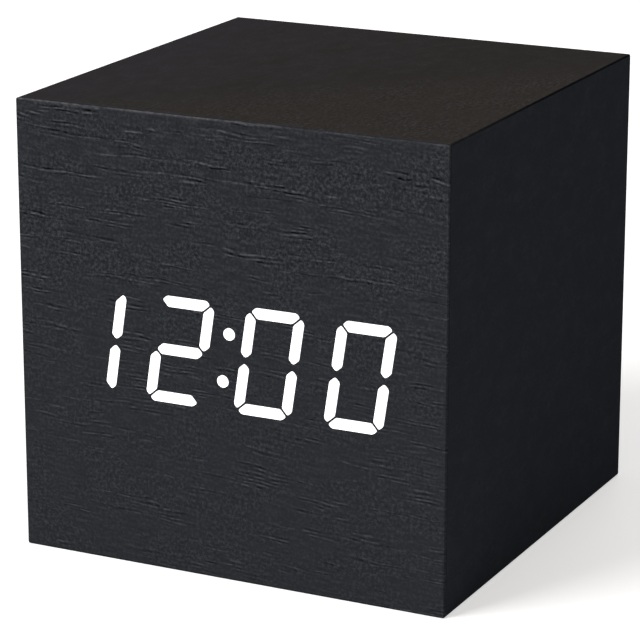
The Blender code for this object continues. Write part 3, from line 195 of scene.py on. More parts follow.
def useGroup(group, **feeds):
    node = tree.nodes.new("ShaderNodeGroup")
    node.node_tree = group
    for name, value in feeds.items():
        plug(node.inputs[name], value)
    return node.outputs


def startMaterial(name, **constants):
    global tree
    material = bpy.data.materials.new(name)
    material.use_nodes = True
    tree = material.node_tree
    shader = tree.nodes["Principled BSDF"]
    for label, value in constants.items():
        shader.inputs[label.replace("_", " ")].default_value = value
    return material, shader.inputs


def dress(shader, base, roughness, height, relief, strength=0.5):
    # The relief is in millimetres
    bump = addNode("Bump", {"Strength": strength, "Distance": relief * millimetre,
                            "Height": height})
    for name, value in (("Base Color", base), ("Roughness", roughness),
                        ("Normal", bump.outputs["Normal"])):
        plug(shader[name], value)


# Effects that several finishes share. Points are in millimetres, grain runs along X

veneer = {
    "plainTone": 0.5,
    "drift": 2.0,
    "lineSpacing": 0.52,
    "phase": 8.0,
    "runsStart": 31.0,
    "pebbles": (2.3, 2.0, 0.75),
    "poreTone": 0.44,
    "strokeTone": 0.25,
    "pebbleTone": 1.4,
}

veneerNoise = {
    # Noise per mm along and across the grain, its detail and roughness. Then come the range
    # that is used, and what its ends become
    "drift": (0.035, 0.12, 0.0, 0.5),
    "phase": (0.24, 0.7, 0.0, 0.5),
    "short": (0.2, 0.85, 1.0, 0.35, 0.55, 0.69),
    "regions": (0.1, 0.24, 0.0, 0.5, 0.4, 0.58, 0.4, 1.0),
    "runs": (0.065, 1.0, 1.0, 0.3, 0.61, 0.74, 0.0, 0.8),
    "breaks": (1.0, 1.8, 1.0, 0.5, 0.36, 0.62, 0.15, 1.2),
    "patches": (0.11, 0.2, 1.0, 0.5, 0.38, 0.62, 0.45, 1.0),
    "strokes": (0.4, 2.4, 0.0, 0.5),
    "mottle": (0.3, 0.45, 3.0, 0.6),
    "tint": (0.1, 0.16, 2.0, 0.5, 0.46, 0.72),
}


def streaks(point, name, start=0.0):
    along, across, *rest = veneerNoise[name]
    spot = scaled(point, (along, across, across))
    return noise(shifted(spot, x=start) if start else spot, 1.0, *rest)


def centred(value):
    return minus(value, veneer["plainTone"])


def makeWoodGrain():
    # Tone is 0.5 where the film is plain, less in a groove as painted shade and more on the ridge
    # beside it as a painted sheen
    given, result = startGroup(
        "woodGrain", dict(Point="Vector", Strength="Float", Slope="Float", Lines="Float",
                          Mottle="Float", Stretch="Vector"),
        dict(Tone="Float", Height="Float", Tint="Float"))
    drift = times(centred(streaks(given["Point"], "drift")), veneer["drift"])
    drift = calc("MULTIPLY_ADD", axes(given["Point"])["X"], given["Slope"], drift)
    point = shifted(given["Point"], y=drift)
    # Pores lie in stacks of two or three fine lines, and a few stacks run on for long
    phase = times(streaks(point, "phase"), veneer["phase"])
    lines = calc("SINE", calc("MULTIPLY_ADD", axes(point)["Y"], tau / veneer["lineSpacing"],
                              phase))
    short = times(streaks(point, "short"), streaks(point, "regions"))
    runs = streaks(point, "runs", veneer["runsStart"])
    stacks = times(calc("MAXIMUM", short, runs), streaks(point, "breaks"))
    # Between them the film is finely pebbled, more so in some patches
    pebbles = noise(scaled(point, given["Stretch"]), *veneer["pebbles"])
    pebbles = times(centred(pebbles), streaks(point, "patches"))
    strokes = times(centred(streaks(point, "strokes")), veneer["strokeTone"])
    drawn = calc("MULTIPLY_ADD", times(lines, stacks), veneer["poreTone"], strokes)
    total = calc("MULTIPLY_ADD", pebbles, veneer["pebbleTone"], times(drawn, given["Lines"]))
    total = times(total, given["Strength"])
    mottle = centred(streaks(given["Point"], "mottle"))
    tone = calc("MULTIPLY_ADD", mottle, given["Mottle"], total)
    plug(result["Tone"], calc("ADD", tone, veneer["plainTone"]))
    plug(result["Height"], total)
    plug(result["Tint"], streaks(given["Point"], "tint"))
    return tree


# Noise that breaks edge lines into dashes, among them the painted highlights along the front's
# edges
edgeDashing = {
    # Noise per mm, detail, roughness, the range that is used, and what its ends become
    "stretches": (0.11, 1.0, 0.5, 0.36, 0.6, 0.45, 1.0),
    "dashes": (0.9, 2.0, 0.6, 0.36, 0.64, 0.35, 1.0),
    "line": (0.2, 1.0, 1.0, 0.0),
}


def makeEdgeLine():
    # 1 at an edge, 0 from the given width on, and broken into dashes along it
    given, result = startGroup(
        "edgeLine", dict(Distance="Float", Width="Float", Point="Vector"), dict(Mask="Float"))
    line = ramp(calc("DIVIDE", given["Distance"], given["Width"]), *edgeDashing["line"])
    dashing = times(*(noise(given["Point"], *edgeDashing[kind]) for kind in ("stretches", "dashes")))
    plug(result["Mask"], times(line, dashing))
    return tree


mould = {
    "fine": (2.0, 0.6),
    "broad": (0.09, 2.0),
    "fineShare": 0.75,
    "cloud": (0.3, 0.7),
}

pressing = {
    "lay": (1.2, 4.0, 2.4),
    "fibres": (1.0, 3.0, 0.65),
    "clumps": (0.7, 2.0),
    "fibreShare": 0.6,
    "shade": (0.36, 0.64),
}

rolling = {
    "lay": (0.5, 9.0, 9.0),
    "lines": (1.0, 2.0),
    "tarnish": (0.6, 3.0, 0.5, 0.42, 0.68),
}


def weighed(share, first, second):
    return calc("MULTIPLY_ADD", first, share, times(second, 1 - share))


def makeMouldSkin():
    # The fine even texture of a spark-eroded mould, and the slight cloudiness of its colour
    given, result = startGroup("mouldSkin", dict(Point="Vector", Grain="Float"),
                               dict(Height="Float", Cloud="Float"))
    fine = noise(given["Point"], given["Grain"], *mould["fine"])
    cloud = weighed(mould["fineShare"], fine, noise(given["Point"], *mould["broad"]))
    plug(result["Height"], fine)
    plug(result["Cloud"], ramp(cloud, *mould["cloud"]))
    return tree


def makeFibres():
    given, result = startGroup("pressedFibres", dict(Point="Vector"),
                               dict(Shade="Float", Height="Float"))
    fibres = noise(scaled(given["Point"], pressing["lay"]), *pressing["fibres"])
    shade = weighed(pressing["fibreShare"], fibres,
                    noise(given["Point"], *pressing["clumps"]))
    plug(result["Shade"], ramp(shade, *pressing["shade"]))
    plug(result["Height"], fibres)
    return tree


def makeRolledMetal():
    # Drawn lines along X, and a little tarnish
    given, result = startGroup("rolledMetal", dict(Point="Vector"),
                               dict(Lines="Float", Tarnish="Float"))
    plug(result["Lines"], noise(scaled(given["Point"], rolling["lay"]), *rolling["lines"]))
    plug(result["Tarnish"], noise(given["Point"], *rolling["tarnish"]))
    return tree


def mouldedSkin(point, grain, dark, light):
    skin = useGroup(mouldSkin, Point=inMillimetres(point), Grain=grain)
    return skin, blendColour(skin["Cloud"], dark, light)


woodGrain = makeWoodGrain()
edgeLine = makeEdgeLine()
mouldSkin = makeMouldSkin()
pressedFibres = makeFibres()
rolledMetal = makeRolledMetal()
print("shared effects made")


# Black wood-grain film, on the front and round the case

film = {
    "dark": colour(0.0022, 0.0024, 0.003),
    "plain": colour(0.0256, 0.0279, 0.0333),
    "plainWarm": colour(0.0265, 0.0279, 0.0323),
    # The grain's ridges take this colour as a painted sheen
    "light": colour(0.085, 0.089, 0.099),
    # Colour of the painted highlights along the front's top and right edges and the top's front
    # edge
    "paintedHighlight": colour(0.098, 0.098, 0.106),
    "slope": 0.045,
    "cut": (203.0, 64.0),  # where on the roll the sheet was cut, in mm
    "relief": 0.03,
    "reliefStrength": 0.6,
    "roughness": (0.2, 0.8, 0.66, 0.54),  # two tones, and the roughness there
    "edgeWidth": 0.00034,
    "frontTurn": -0.5,
    "bottomLine": 0.6,
    # Two shares of the height or half width, and the strength there; the last three place the
    # painted highlights along the front's top and right edges
    "strength": (0.45, 0.75, 0.6, 0.95),
    "topHighlight": (-0.2, 0.4, 1.0, 0.4),
    "topHighlightReturn": (0.65, 1.0, 0.0, 0.7),
    "rightHighlight": (0.4, 1.0, 0.0, 0.4),
}


# Below 0.5 the tone paints shade towards the dark colour, above it a painted sheen towards the
# light one
def toned(tone, dark, plain, light):
    darker = calc("MULTIPLY_ADD", tone, -2.0, 1.0, clamp=True)
    lighter = calc("MULTIPLY_ADD", tone, 2.0, -1.0, clamp=True)
    return blendColour(lighter, blendColour(darker, plain, dark), light)


def edgeMask(toEdge, width, grainPoint):
    return useGroup(edgeLine, Distance=toEdge, Width=width, Point=grainPoint)["Mask"]


def dressFilm(shader, grain, base):
    dress(shader, base, ramp(grain["Tone"], *film["roughness"]),
          grain["Height"], film["relief"], film["reliefStrength"])


def finishFilm():
    material, shader = startMaterial("frontFilm", Specular_IOR_Level=0.0)
    parts = axes(surfacePoint())
    grainPoint = inMillimetres(joined(parts["X"], parts["Z"], parts["Y"]))
    along, across = film["cut"]
    grain = useGroup(woodGrain, Point=shifted(grainPoint, along, across),
                     Strength=rampOver(parts["Z"], cubeTop, *film["strength"]),
                     Slope=film["slope"], Lines=1.0, Mottle=0.0, Stretch=(1, 1, 1))
    plain = blendColour(grain["Tint"], film["plain"], film["plainWarm"])
    base = toned(grain["Tone"], film["dark"], plain, film["light"])

    # A painted highlight along the front's top edge
    topHighlight = edgeMask(minus(cubeTop, parts["Z"]), film["edgeWidth"], grainPoint)
    # It fades three quarters of the way along, and comes back at the corner
    fade = calc("MAXIMUM", *(rampOver(parts["X"], halfWidth, *film[kind])
                             for kind in ("topHighlight", "topHighlightReturn")))
    # A painted highlight along the front's right edge, fading out towards the bottom
    rightHighlight = edgeMask(minus(halfWidth, parts["X"]), film["edgeWidth"], grainPoint)
    rightFade = rampOver(parts["Z"], cubeTop, *film["rightHighlight"])
    lines = calc("MAXIMUM", times(topHighlight, fade), times(rightHighlight, rightFade))
    frontOnly = calc("LESS_THAN", surfaceFacing()["Y"], film["frontTurn"])
    # The painted highlights go on the front face only
    base = blendColour(times(lines, frontOnly), base, film["paintedHighlight"])
    bottomLine = edgeMask(parts["Z"], film["edgeWidth"], grainPoint)
    base = blendColour(times(bottomLine, film["bottomLine"]), base, film["dark"])
    dressFilm(shader, grain, base)
    return material


fibreboard = {
    "dark": colour(0.235, 0.15, 0.078),
    "light": colour(0.345, 0.235, 0.135),
    "roughness": (0.78, 0.92),
    "relief": 0.06,
}

case = {
    # Painted light on the top: bluer at the left end, warmer and darker at the right, lighter near
    # the front's right end
    "topPaintedLight": colour(0.0306, 0.0279, 0.0314),
    "topPaintedLightWarm": colour(0.0272, 0.0252, 0.0238),
    "topPaintedLightNear": colour(0.031, 0.0276, 0.0258),
    "strengths": (0.12, 0.48),
    "lines": 0.3,
    "stretch": (0.62, 0.95, 0.95),
    "mottle": 0.13,
    "tint": 0.5,
    "topTurn": 0.5,
    "edgeWidth": 0.0014,
    # Strength of the painted highlight along the top's front edge
    "frontHighlight": 0.2,
    "foldWidth": 0.00032,
    "mitreWidth": 0.00016,
    "wall": 0.004,
    "wrapTurn": 0.00004,
    # Two shares of a length, and the strength there
    "near": (0.0, 0.8),
    # How the top's painted warmth grows from its left end
    "paintedWarmth": (-1.0, 0.5, 0.0, 0.8),
    "fold": (0.3, 1.0, 0.85, 0.0),
    "foldFade": (0.5, 1.0),  # from the front edge to the middle
    "mitre": (0.4, 1.0, 0.9, 0.0),
}


def rawBoard(point):
    fibres = useGroup(pressedFibres, Point=inMillimetres(point))
    return fibres, blendColour(fibres["Shade"], fibreboard["dark"], fibreboard["light"])


def finishCase():
    material, shader = startMaterial("caseFilm", Specular_IOR_Level=0.0)
    point = surfacePoint()
    parts, facing = axes(point), surfaceFacing()
    # The grain runs from front to back on all four sides
    onSide = calc("GREATER_THAN", absolute(facing["X"]), faceTurn)
    laid = blendVector(onSide, joined(parts["Y"], parts["X"], parts["Z"]),
                       joined(parts["Y"], parts["Z"], parts["X"]))
    grainPoint = inMillimetres(laid)
    # On the top the grain shows more towards the front's right end, and the top is painted lighter
    # there
    onTop = calc("GREATER_THAN", facing["Z"], case["topTurn"])
    near = rampOver(minus(parts["X"], parts["Y"]), halfWidth, *case["near"])
    near = times(near, onTop)
    grain = useGroup(woodGrain, Point=grainPoint, Slope=0.0, Lines=case["lines"],
                     Strength=ramp(near, 0, 1, *case["strengths"]),
                     Mottle=case["mottle"], Stretch=case["stretch"])
    # The top is painted its own colours, unlike the sides: painted light, bluer at the left and
    # warmer and darker at the right, with the random tint mixed in
    tintAndPaintedWarmth = calc("MULTIPLY_ADD", grain["Tint"], case["tint"],
                rampOver(parts["X"], halfWidth, *case["paintedWarmth"]), clamp=True)
    topPaintedLight = blendColour(tintAndPaintedWarmth, case["topPaintedLight"], case["topPaintedLightWarm"])
    topPaintedLight = blendColour(near, topPaintedLight, case["topPaintedLightNear"])
    plain = blendColour(onTop, film["plain"], topPaintedLight)
    base = toned(grain["Tone"], film["dark"], plain, film["light"])

    # A painted highlight along the top's front edge
    toFront = minus(parts["Y"], frontFace)
    frontHighlight = times(edgeMask(toFront, case["edgeWidth"], grainPoint), onTop)
    base = blendColour(times(frontHighlight, case["frontHighlight"]), base, film["paintedHighlight"])
    # Where the board is folded, at the ends of the top, and at the top's rear rim
    outX = absolute(parts["X"])
    toFold = calc("MINIMUM", minus(halfWidth, outX), minus(rearFace, parts["Y"]))
    toFold = calc("MAXIMUM", toFold, minus(cubeTop, parts["Z"]))
    fold = times(rampOver(toFold, case["foldWidth"], *case["fold"]),
                 ramp(parts["Y"], frontFace, 0, *case["foldFade"]))
    base = blendColour(fold, base, film["dark"])
    # The board's mitres show at the rear rim, and its inside is raw
    outZ = absolute(minus(parts["Z"], cubeTop / 2))
    mitre = rampOver(absolute(minus(outX, outZ)), case["mitreWidth"], *case["mitre"])
    mitre = times(mitre, calc("GREATER_THAN", facing["Y"], faceTurn))
    base = blendColour(mitre, base, film["dark"])
    inside = calc("LESS_THAN", calc("MAXIMUM", outX, outZ),
                  halfWidth - case["wall"] + case["wrapTurn"])
    fibres, raw = rawBoard(point)
    dressFilm(shader, grain, blendColour(inside, base, raw))
    return material


# Light bars, lit at their faces only, so that the fine gaps round them stay dark

bars = {
    "resin": colour(0.88, 0.88, 0.87),
    "cloudy": colour(0.8, 0.8, 0.79),
    "lit": colour(1.0, 1.0, 1.0),
    "unlit": colour(0.0, 0.0, 0.0),
    "litDepth": 0.0002,
    "grain": 1.2,
}


def finishBars():
    material, shader = startMaterial("lightBars", Roughness=0.35, Emission_Strength=1.0)
    point = surfacePoint()
    skin, base = mouldedSkin(point, bars["grain"], bars["cloudy"], bars["resin"])
    plug(shader["Base Color"], base)
    glow = ramp(axes(point)["Y"], frontFace + bars["litDepth"],
                frontFace + 2 * bars["litDepth"], 1.0, 0.0)
    plug(shader["Emission Color"], blendColour(glow, bars["unlit"], bars["lit"]))
    return material


# Camera, lamps, floor

camera = {
    "azimuth": 26.308,
    "elevation": 16.426,
    "distance": 0.409561,
    "lens": 172.06,
    "sensor": 36,
    "target": (-0.00191, 0.0, 0.027),
    "clip": (0.01, 20),
}


def aimFrom(holder, middle, azimuth, elevation, away):
    # Azimuth 0 is the front, and grows towards the right side
    bpy.context.scene.collection.objects.link(holder)
    around, up = radians(azimuth), radians(elevation)
    outwards = Vector((sin(around) * cos(up), -cos(around) * cos(up),
                       sin(up)))
    holder.location = Vector(middle) + outwards * away
    holder.rotation_euler = (-outwards).to_track_quat("-Z", "Y").to_euler()


def setCamera():
    data = bpy.data.cameras.new("camera")
    data.sensor_width = camera["sensor"]
    data.lens = camera["lens"]
    data.clip_start, data.clip_end = camera["clip"]
    holder = bpy.data.objects.new("camera", data)
    aimFrom(holder, camera["target"], camera["azimuth"], camera["elevation"],
            camera["distance"])
    bpy.context.scene.camera = holder


lamps = {
    # Name: azimuth, elevation, distance, width, level on a surface that faces it, colour
    "keySoftbox": (-38, 37, 1.9, 0.95, 0.95, (1.0, 0.995, 0.985)),
    "overheadSoftbox": (40, 78, 1.0, 0.5, 0.12, (1.0, 0.84, 0.68)),
    "rightFill": (104, 8, 1.4, 0.7, 0.075, (0.94, 0.97, 1.0)),
    "rearFill": (188, 16, 1.2, 0.6, 0.38, (1.0, 1.0, 1.0)),
}


def setLamps():
    for name, (azimuth, elevation, away, width, level, tint) in lamps.items():
        data = bpy.data.lights.new(name, "AREA")
        data.size = width
        data.energy = pi ** 2 * away ** 2 * level
        data.color = tint
        aimFrom(bpy.data.objects.new(name, data), (0, 0, cubeTop / 2), azimuth, elevation, away)


surroundings = {
    "white": colour(1.0, 1.0, 1.0),
    "fill": colour(0.96, 0.98, 1.0),
    "fillLevel": 0.22,
    "floor": colour(0.74, 0.74, 0.74),
    "floorSize": 3.0,
    "lift": (0.25, 0.7, 0.5, 1.0),  # two distances from the clock, and the lift there
}


def seenDirectly():
    path = addNode("LightPath", {}).outputs
    seen = calc("MAXIMUM", path["Is Camera Ray"], path["Is Glossy Ray"])
    return calc("MAXIMUM", seen, path["Is Transmission Ray"])


def setWorld():
    global tree
    world = bpy.data.worlds.new("studio")
    bpy.context.scene.world = world
    world.use_nodes = True
    tree = world.node_tree
    fill = tree.nodes["Background"]
    fill.inputs["Color"].default_value = surroundings["fill"]
    fill.inputs["Strength"].default_value = surroundings["fillLevel"]
    shown = addNode("Background", {"Color": surroundings["white"], "Strength": 1.0})
    mixed = addNode("MixShader", {0: seenDirectly(), 1: fill.outputs[0], 2: shown.outputs[0]})
    tree.links.new(mixed.outputs[0], tree.nodes["World Output"].inputs["Surface"])
    bpy.context.scene.view_settings.view_transform = "Standard"


def setFloor():
    bm = bmesh.new()
    bmesh.ops.create_grid(bm, x_segments=2, y_segments=2, size=surroundings["floorSize"])
    data = bpy.data.meshes.new("floor")
    bm.to_mesh(data)
    bm.free()
    floor = bpy.data.objects.new("floor", data)
    bpy.context.scene.collection.objects.link(floor)
    material, shader = startMaterial(
        "paleFloor", Roughness=0.9, Specular_IOR_Level=0.0, Base_Color=surroundings["floor"],
        Emission_Color=surroundings["white"])
    lift = ramp(distance(surfacePoint()), *surroundings["lift"])
    plug(shader["Emission Strength"], times(seenDirectly(), lift))
    data.materials.append(material)


setCamera()
setLamps()
setWorld()
setFloor()
print("camera, lamps and floor set")


# Plastics, metals, boards and wires

plastics = {
    # Slot: darker colour, lighter colour, lowest and highest roughness, grain per mm, relief in mm
    "cover_black": ((0.015, 0.015, 0.016), (0.0235, 0.0235, 0.0245), 0.5, 0.66, 5.0, 0.014),
    "key_black": ((0.025, 0.025, 0.026), (0.034, 0.034, 0.035), 0.38, 0.5, 3.0, 0.003),
    "socket_black": ((0.012, 0.012, 0.013), (0.018, 0.018, 0.019), 0.36, 0.48, 3.0, 0.004),
    "housing_black": ((0.01, 0.01, 0.011), (0.014, 0.014, 0.015), 0.6, 0.74, 3.0, 0.006),
    "chip_resin": ((0.012, 0.012, 0.013), (0.019, 0.019, 0.02), 0.52, 0.68, 6.0, 0.006),
    "buzzer_black": ((0.015, 0.015, 0.016), (0.021, 0.021, 0.022), 0.44, 0.58, 3.0, 0.005),
    "switch_black": ((0.017, 0.017, 0.018), (0.023, 0.023, 0.024), 0.4, 0.55, 3.0, 0.004),
    "holder_plastic": ((0.4, 0.38, 0.33), (0.49, 0.47, 0.42), 0.42, 0.56, 2.0, 0.005),
    "plug_plastic": ((0.57, 0.56, 0.51), (0.66, 0.65, 0.61), 0.4, 0.54, 2.0, 0.004),
    "plunger_white": ((0.55, 0.55, 0.52), (0.63, 0.63, 0.61), 0.4, 0.52, 2.0, 0.003),
    "sensor_resin": ((0.15, 0.035, 0.008), (0.25, 0.07, 0.014), 0.12, 0.24, 1.0, 0.01),
    "capacitor_sleeve": ((0.016, 0.024, 0.066), (0.024, 0.036, 0.092), 0.3, 0.42, 1.5, 0.004),
    "lead_red": ((0.3, 0.008, 0.008), (0.39, 0.014, 0.012), 0.34, 0.46, 2.0, 0.004),
    "lead_black": ((0.012, 0.012, 0.012), (0.018, 0.018, 0.018), 0.34, 0.46, 2.0, 0.004),
}
plasticGloss = 0.32

metals = {
    # Slot: tarnished colour, clean colour, lowest and highest roughness, relief in mm
    "screw_steel": ((0.4, 0.4, 0.42), (0.56, 0.56, 0.57), 0.24, 0.42, 0.002),
    "spring_nickel": ((0.5, 0.48, 0.44), (0.68, 0.66, 0.62), 0.2, 0.36, 0.001),
    "contact_nickel": ((0.48, 0.47, 0.43), (0.66, 0.65, 0.61), 0.22, 0.4, 0.002),
    "tinned_can": ((0.44, 0.44, 0.45), (0.6, 0.6, 0.61), 0.26, 0.44, 0.002),
    "coin_steel": ((0.52, 0.52, 0.53), (0.66, 0.66, 0.67), 0.18, 0.3, 0.001),
    "socket_brass": ((0.52, 0.37, 0.16), (0.72, 0.57, 0.3), 0.2, 0.36, 0.002),
}
drawnLines = (0.3, 0.7)  # the range of the metal's lines that its roughness follows


def wornMetal(point, tarnished, clean):
    worn = useGroup(rolledMetal, Point=inMillimetres(point))
    return worn, blendColour(worn["Tarnish"], colour(*clean), colour(*tarnished))


def finishPlastic(slot, dark, light, smooth, rough, grain, relief):
    material, shader = startMaterial(slot, Specular_IOR_Level=plasticGloss)
    skin, base = mouldedSkin(surfacePoint(), grain, colour(*dark), colour(*light))
    dress(shader, base, ramp(skin["Cloud"], 0, 1, smooth, rough), skin["Height"], relief)
    return material


def finishMetal(slot, tarnished, clean, smooth, rough, relief):
    material, shader = startMaterial(slot, Metallic=1.0)
    worn, base = wornMetal(surfacePoint(), tarnished, clean)
    dress(shader, base, ramp(worn["Lines"], *drawnLines, smooth, rough), worn["Lines"], relief)
    return material


board = {
    "mask": colour(0.0085, 0.052, 0.021),
    "copper": colour(0.016, 0.092, 0.036),
    "laminate": colour(0.3, 0.24, 0.11),
    "lanes": 1.3,  # per mm
    "breaks": 0.16,  # per mm along a lane
    "laneStep": 3.7,
    "present": (0.0, 0.5, 0.44, 0.47),
    "halfTrace": (0.2, 0.26, 1.0, 0.0),
    "weave": (2.5, 2.0),
    "weaveRelief": 0.2,
    "relief": 0.03,
    "roughness": (0.3, 0.7, 0.3, 0.44),
}


def finishBoard():
    # Solder mask over traces that run in lanes, with the laminate's own colour at the edges
    material, shader = startMaterial("solderMask")
    point = inMillimetres(surfacePoint())
    parts = axes(point)
    lane = times(parts["Z"], board["lanes"])
    within = absolute(minus(calc("FRACT", lane), 0.5))
    runs = joined(times(parts["X"], board["breaks"]),
                  times(calc("FLOOR", lane), board["laneStep"]))
    trace = times(ramp(within, *board["halfTrace"]), noise(runs, 1.0, *board["present"]))
    face = blendColour(trace, board["mask"], board["copper"])
    onEdge = calc("LESS_THAN", absolute(surfaceFacing()["Y"]), faceTurn)
    weave = noise(point, *board["weave"])
    dress(shader, blendColour(onEdge, face, board["laminate"]),
          ramp(weave, *board["roughness"]),
          calc("MULTIPLY_ADD", weave, board["weaveRelief"], trace), board["relief"])
    return material


def finishFibreboard():
    material, shader = startMaterial("rawFibreboard", Specular_IOR_Level=0.2)
    fibres, base = rawBoard(surfacePoint())
    dress(shader, base, ramp(fibres["Shade"], 0, 1, *fibreboard["roughness"]),
          fibres["Height"], fibreboard["relief"])
    return material


ribbon = {
    "wire": colour(0.33, 0.33, 0.35),
    "wireLight": colour(0.38, 0.38, 0.4),
    "marked": colour(0.34, 0.03, 0.03),
    "grain": 2.0,
    "roughness": 0.5,
    "relief": 0.004,
    "wires": 7,
    "pitch": 0.001,
    "middleX": 0.0035,
    "thickness": 0.0009,
    "joinAngle": 35,
    "start": (-0.0145, 0.0385),
    "end": (0.0135, 0.0508),
    "steps": 32,
    "arcSteps": 6,
}


def finishRibbon():
    # The first wire is marked
    material, shader = startMaterial("ribbonInsulation")
    point = surfacePoint()
    skin, grey = mouldedSkin(point, ribbon["grain"], ribbon["wire"], ribbon["wireLight"])
    marked = calc("LESS_THAN", axes(point)["X"],
                  ribbon["middleX"] - (ribbon["wires"] / 2 - 1) * ribbon["pitch"])
    dress(shader, blendColour(marked, grey, ribbon["marked"]),
          ribbon["roughness"], skin["Height"], ribbon["relief"])
    return material


cell = {
    "radius": 0.00525,
    "length": 0.0445,
    "nub": 0.0019,
    "nubFoot": 0.002375,
    "nubHeight": 0.0009,
    "lip": 0.0007,
    "dish": 0.0003,
    "ease": 0.00025,
    "easeAngle": 28,
    "heights": (0.01755, 0.02835, 0.03915),
    "y": 0.02165,
    "flatEnd": 0.021,
    "sides": 48,
    "sleeve": colour(0.018, 0.018, 0.02),
    "sleeveLight": colour(0.023, 0.023, 0.025),
    "silver": colour(0.36, 0.36, 0.37),
    "silverMetal": 0.8,
    "band": (0.8, 0.03),  # middle and half width, as shares of the length
    "line": (0.755, 0.004),
    "grain": 0.8,
    "relief": 0.01,
    "roughness": (0.28, 0.4),
}


def finishCellSleeve():
    # A black shrink sleeve with a plain silver band; "along" runs from the flat end to the nub
    material, shader = startMaterial("cellSleeve", Coat_Weight=0.3, Coat_Roughness=0.1)
    skin, black = mouldedSkin(surfacePoint(), cell["grain"], cell["sleeve"],
                              cell["sleeveLight"])
    along = addNode("Attribute", {}, attribute_name="along").outputs["Fac"]
    marked = calc("MAXIMUM", calc("COMPARE", along, *cell["band"]),
                  calc("COMPARE", along, *cell["line"]))
    plug(shader["Metallic"], times(marked, cell["silverMetal"]))
    dress(shader, blendColour(marked, black, cell["silver"]),
          ramp(skin["Cloud"], 0, 1, *cell["roughness"]), skin["Height"], cell["relief"])
    return material


microphone = {
    "x": 0.0063,
    "z": 0.0508,
    "felt": 0.00155,
    "black": colour(0.008, 0.008, 0.0085),
    "fluff": colour(0.023, 0.023, 0.024),
    "nap": (9.0, 3.0, 0.7),
    "napRange": (0.3, 0.7),
    "roughness": (0.34, 0.95),  # of the can and of the felt
    "relief": 0.06,
}


def finishMicrophone():
    # A tinned can, with black felt over the middle of its face
    material, shader = startMaterial("feltedCan")
    point = surfacePoint()
    away = shifted(point, x=-microphone["x"], z=-microphone["z"])
    away = distance(scaled(away, (1, 0, 1)))
    felt = times(calc("GREATER_THAN", surfaceFacing()["Y"], faceTurn),
                 calc("LESS_THAN", away, microphone["felt"]))
    worn, metal = wornMetal(point, *metals["tinned_can"][:2])
    nap = noise(inMillimetres(point), *microphone["nap"])
    cloth = blendColour(ramp(nap, *microphone["napRange"]), microphone["black"],
                        microphone["fluff"])
    plug(shader["Metallic"], minus(1.0, felt))
    dress(shader, blendColour(felt, metal, cloth),
          ramp(felt, 0, 1, *microphone["roughness"]), times(nap, felt),
          microphone["relief"])
    return material


chip = {
    "halfHeight": 0.00195,
    "legRoughness": 0.32,
}


def finishChip():
    # Moulded resin, with tinned legs above and below it
    material, shader = startMaterial("chipAndLegs", Specular_IOR_Level=plasticGloss)
    point = surfacePoint()
    low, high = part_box("microcontroller")
    out = absolute(minus(axes(point)["Z"], (low.z + high.z) / 2))
    leg = calc("GREATER_THAN", out, chip["halfHeight"])
    dark, light, smooth, rough, grain, relief = plastics["chip_resin"]
    skin, resin = mouldedSkin(point, grain, colour(*dark), colour(*light))
    worn, metal = wornMetal(point, *metals["tinned_can"][:2])
    plug(shader["Metallic"], leg)
    dress(shader, blendColour(leg, resin, metal),
          ramp(leg, 0, 1, rough, chip["legRoughness"]), skin["Height"], relief)
    return material


finishes = {slot: finishPlastic(slot, *values) for slot, values in plastics.items()}
finishes.update({slot: finishMetal(slot, *values) for slot, values in metals.items()})
finishes.update({
    "front_film_grain": finishFilm(),
    "black_wood_grain": finishCase(),
    "lit_resin": finishBars(),
    "board_green": finishBoard(),
    "raw_board": finishFibreboard(),
    "ribbon_grey": finishRibbon(),
    "cell_wrap": finishCellSleeve(),
})
for entry in frame["record"]["subparts"]:
    nodes[entry["node"]].material_slots[0].material = finishes[entry["material_slot"]]
nodes["microphone"].material_slots[0].material = finishMicrophone()
nodes["microcontroller"].material_slots[0].material = finishChip()
print("every node has its finish")


# Making of new pieces

def enterPiece(piece, body, slot, *replaced):
    bpy.context.scene.collection.objects.link(piece)
    piece.data.materials.append(finishes[slot])
    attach(piece, body)
    if replaced:
        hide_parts(*replaced)
    return piece


def keepPiece(bm, name, body, slot, *replaced, smoothAngle=35):
    data = bpy.data.meshes.new(name)
    bm.to_mesh(data)
    bm.free()
    data.shade_smooth()
    data.set_sharp_from_angle(angle=radians(smoothAngle))
    return enterPiece(bpy.data.objects.new(name, data), body, slot, *replaced)


def enterTubes(name, routes, radius, body, slot, *replaced):
    data = bpy.data.curves.new(name, "CURVE")
    data.dimensions = "3D"
    data.bevel_depth = radius
    data.bevel_resolution = 4
    data.use_fill_caps = True
    for route in routes:
        spline = data.splines.new("POLY")
        spline.points.add(len(route) - 1)
        for target, point in zip(spline.points, route):
            target.co = (*point, 1)
        spline.use_smooth = True
    return enterPiece(bpy.data.objects.new(name, data), body, slot, *replaced)


def cornersOf(made):
    return [item for item in made["geom"] if isinstance(item, bmesh.types.BMVert)]


def openEdges(bm):
    return [edge for edge in bm.edges if edge.is_boundary]


def extendRim(bm):
    return cornersOf(bmesh.ops.extrude_edge_only(bm, edges=openEdges(bm)))


def closeUp(bm):
    bmesh.ops.holes_fill(bm, edges=openEdges(bm), sides=0)
    bmesh.ops.recalc_face_normals(bm, faces=bm.faces)


def raiseBy(bm, height, corners):
    bmesh.ops.translate(bm, vec=(0, 0, height), verts=corners)


def sharpEdges(bm, angle=60):
    return [edge for edge in bm.edges
            if len(edge.link_faces) == 2 and edge.calc_face_angle(0) > radians(angle)]


def above(edges, height):
    return [edge for edge in edges if all(corner.co.z > height for corner in edge.verts)]


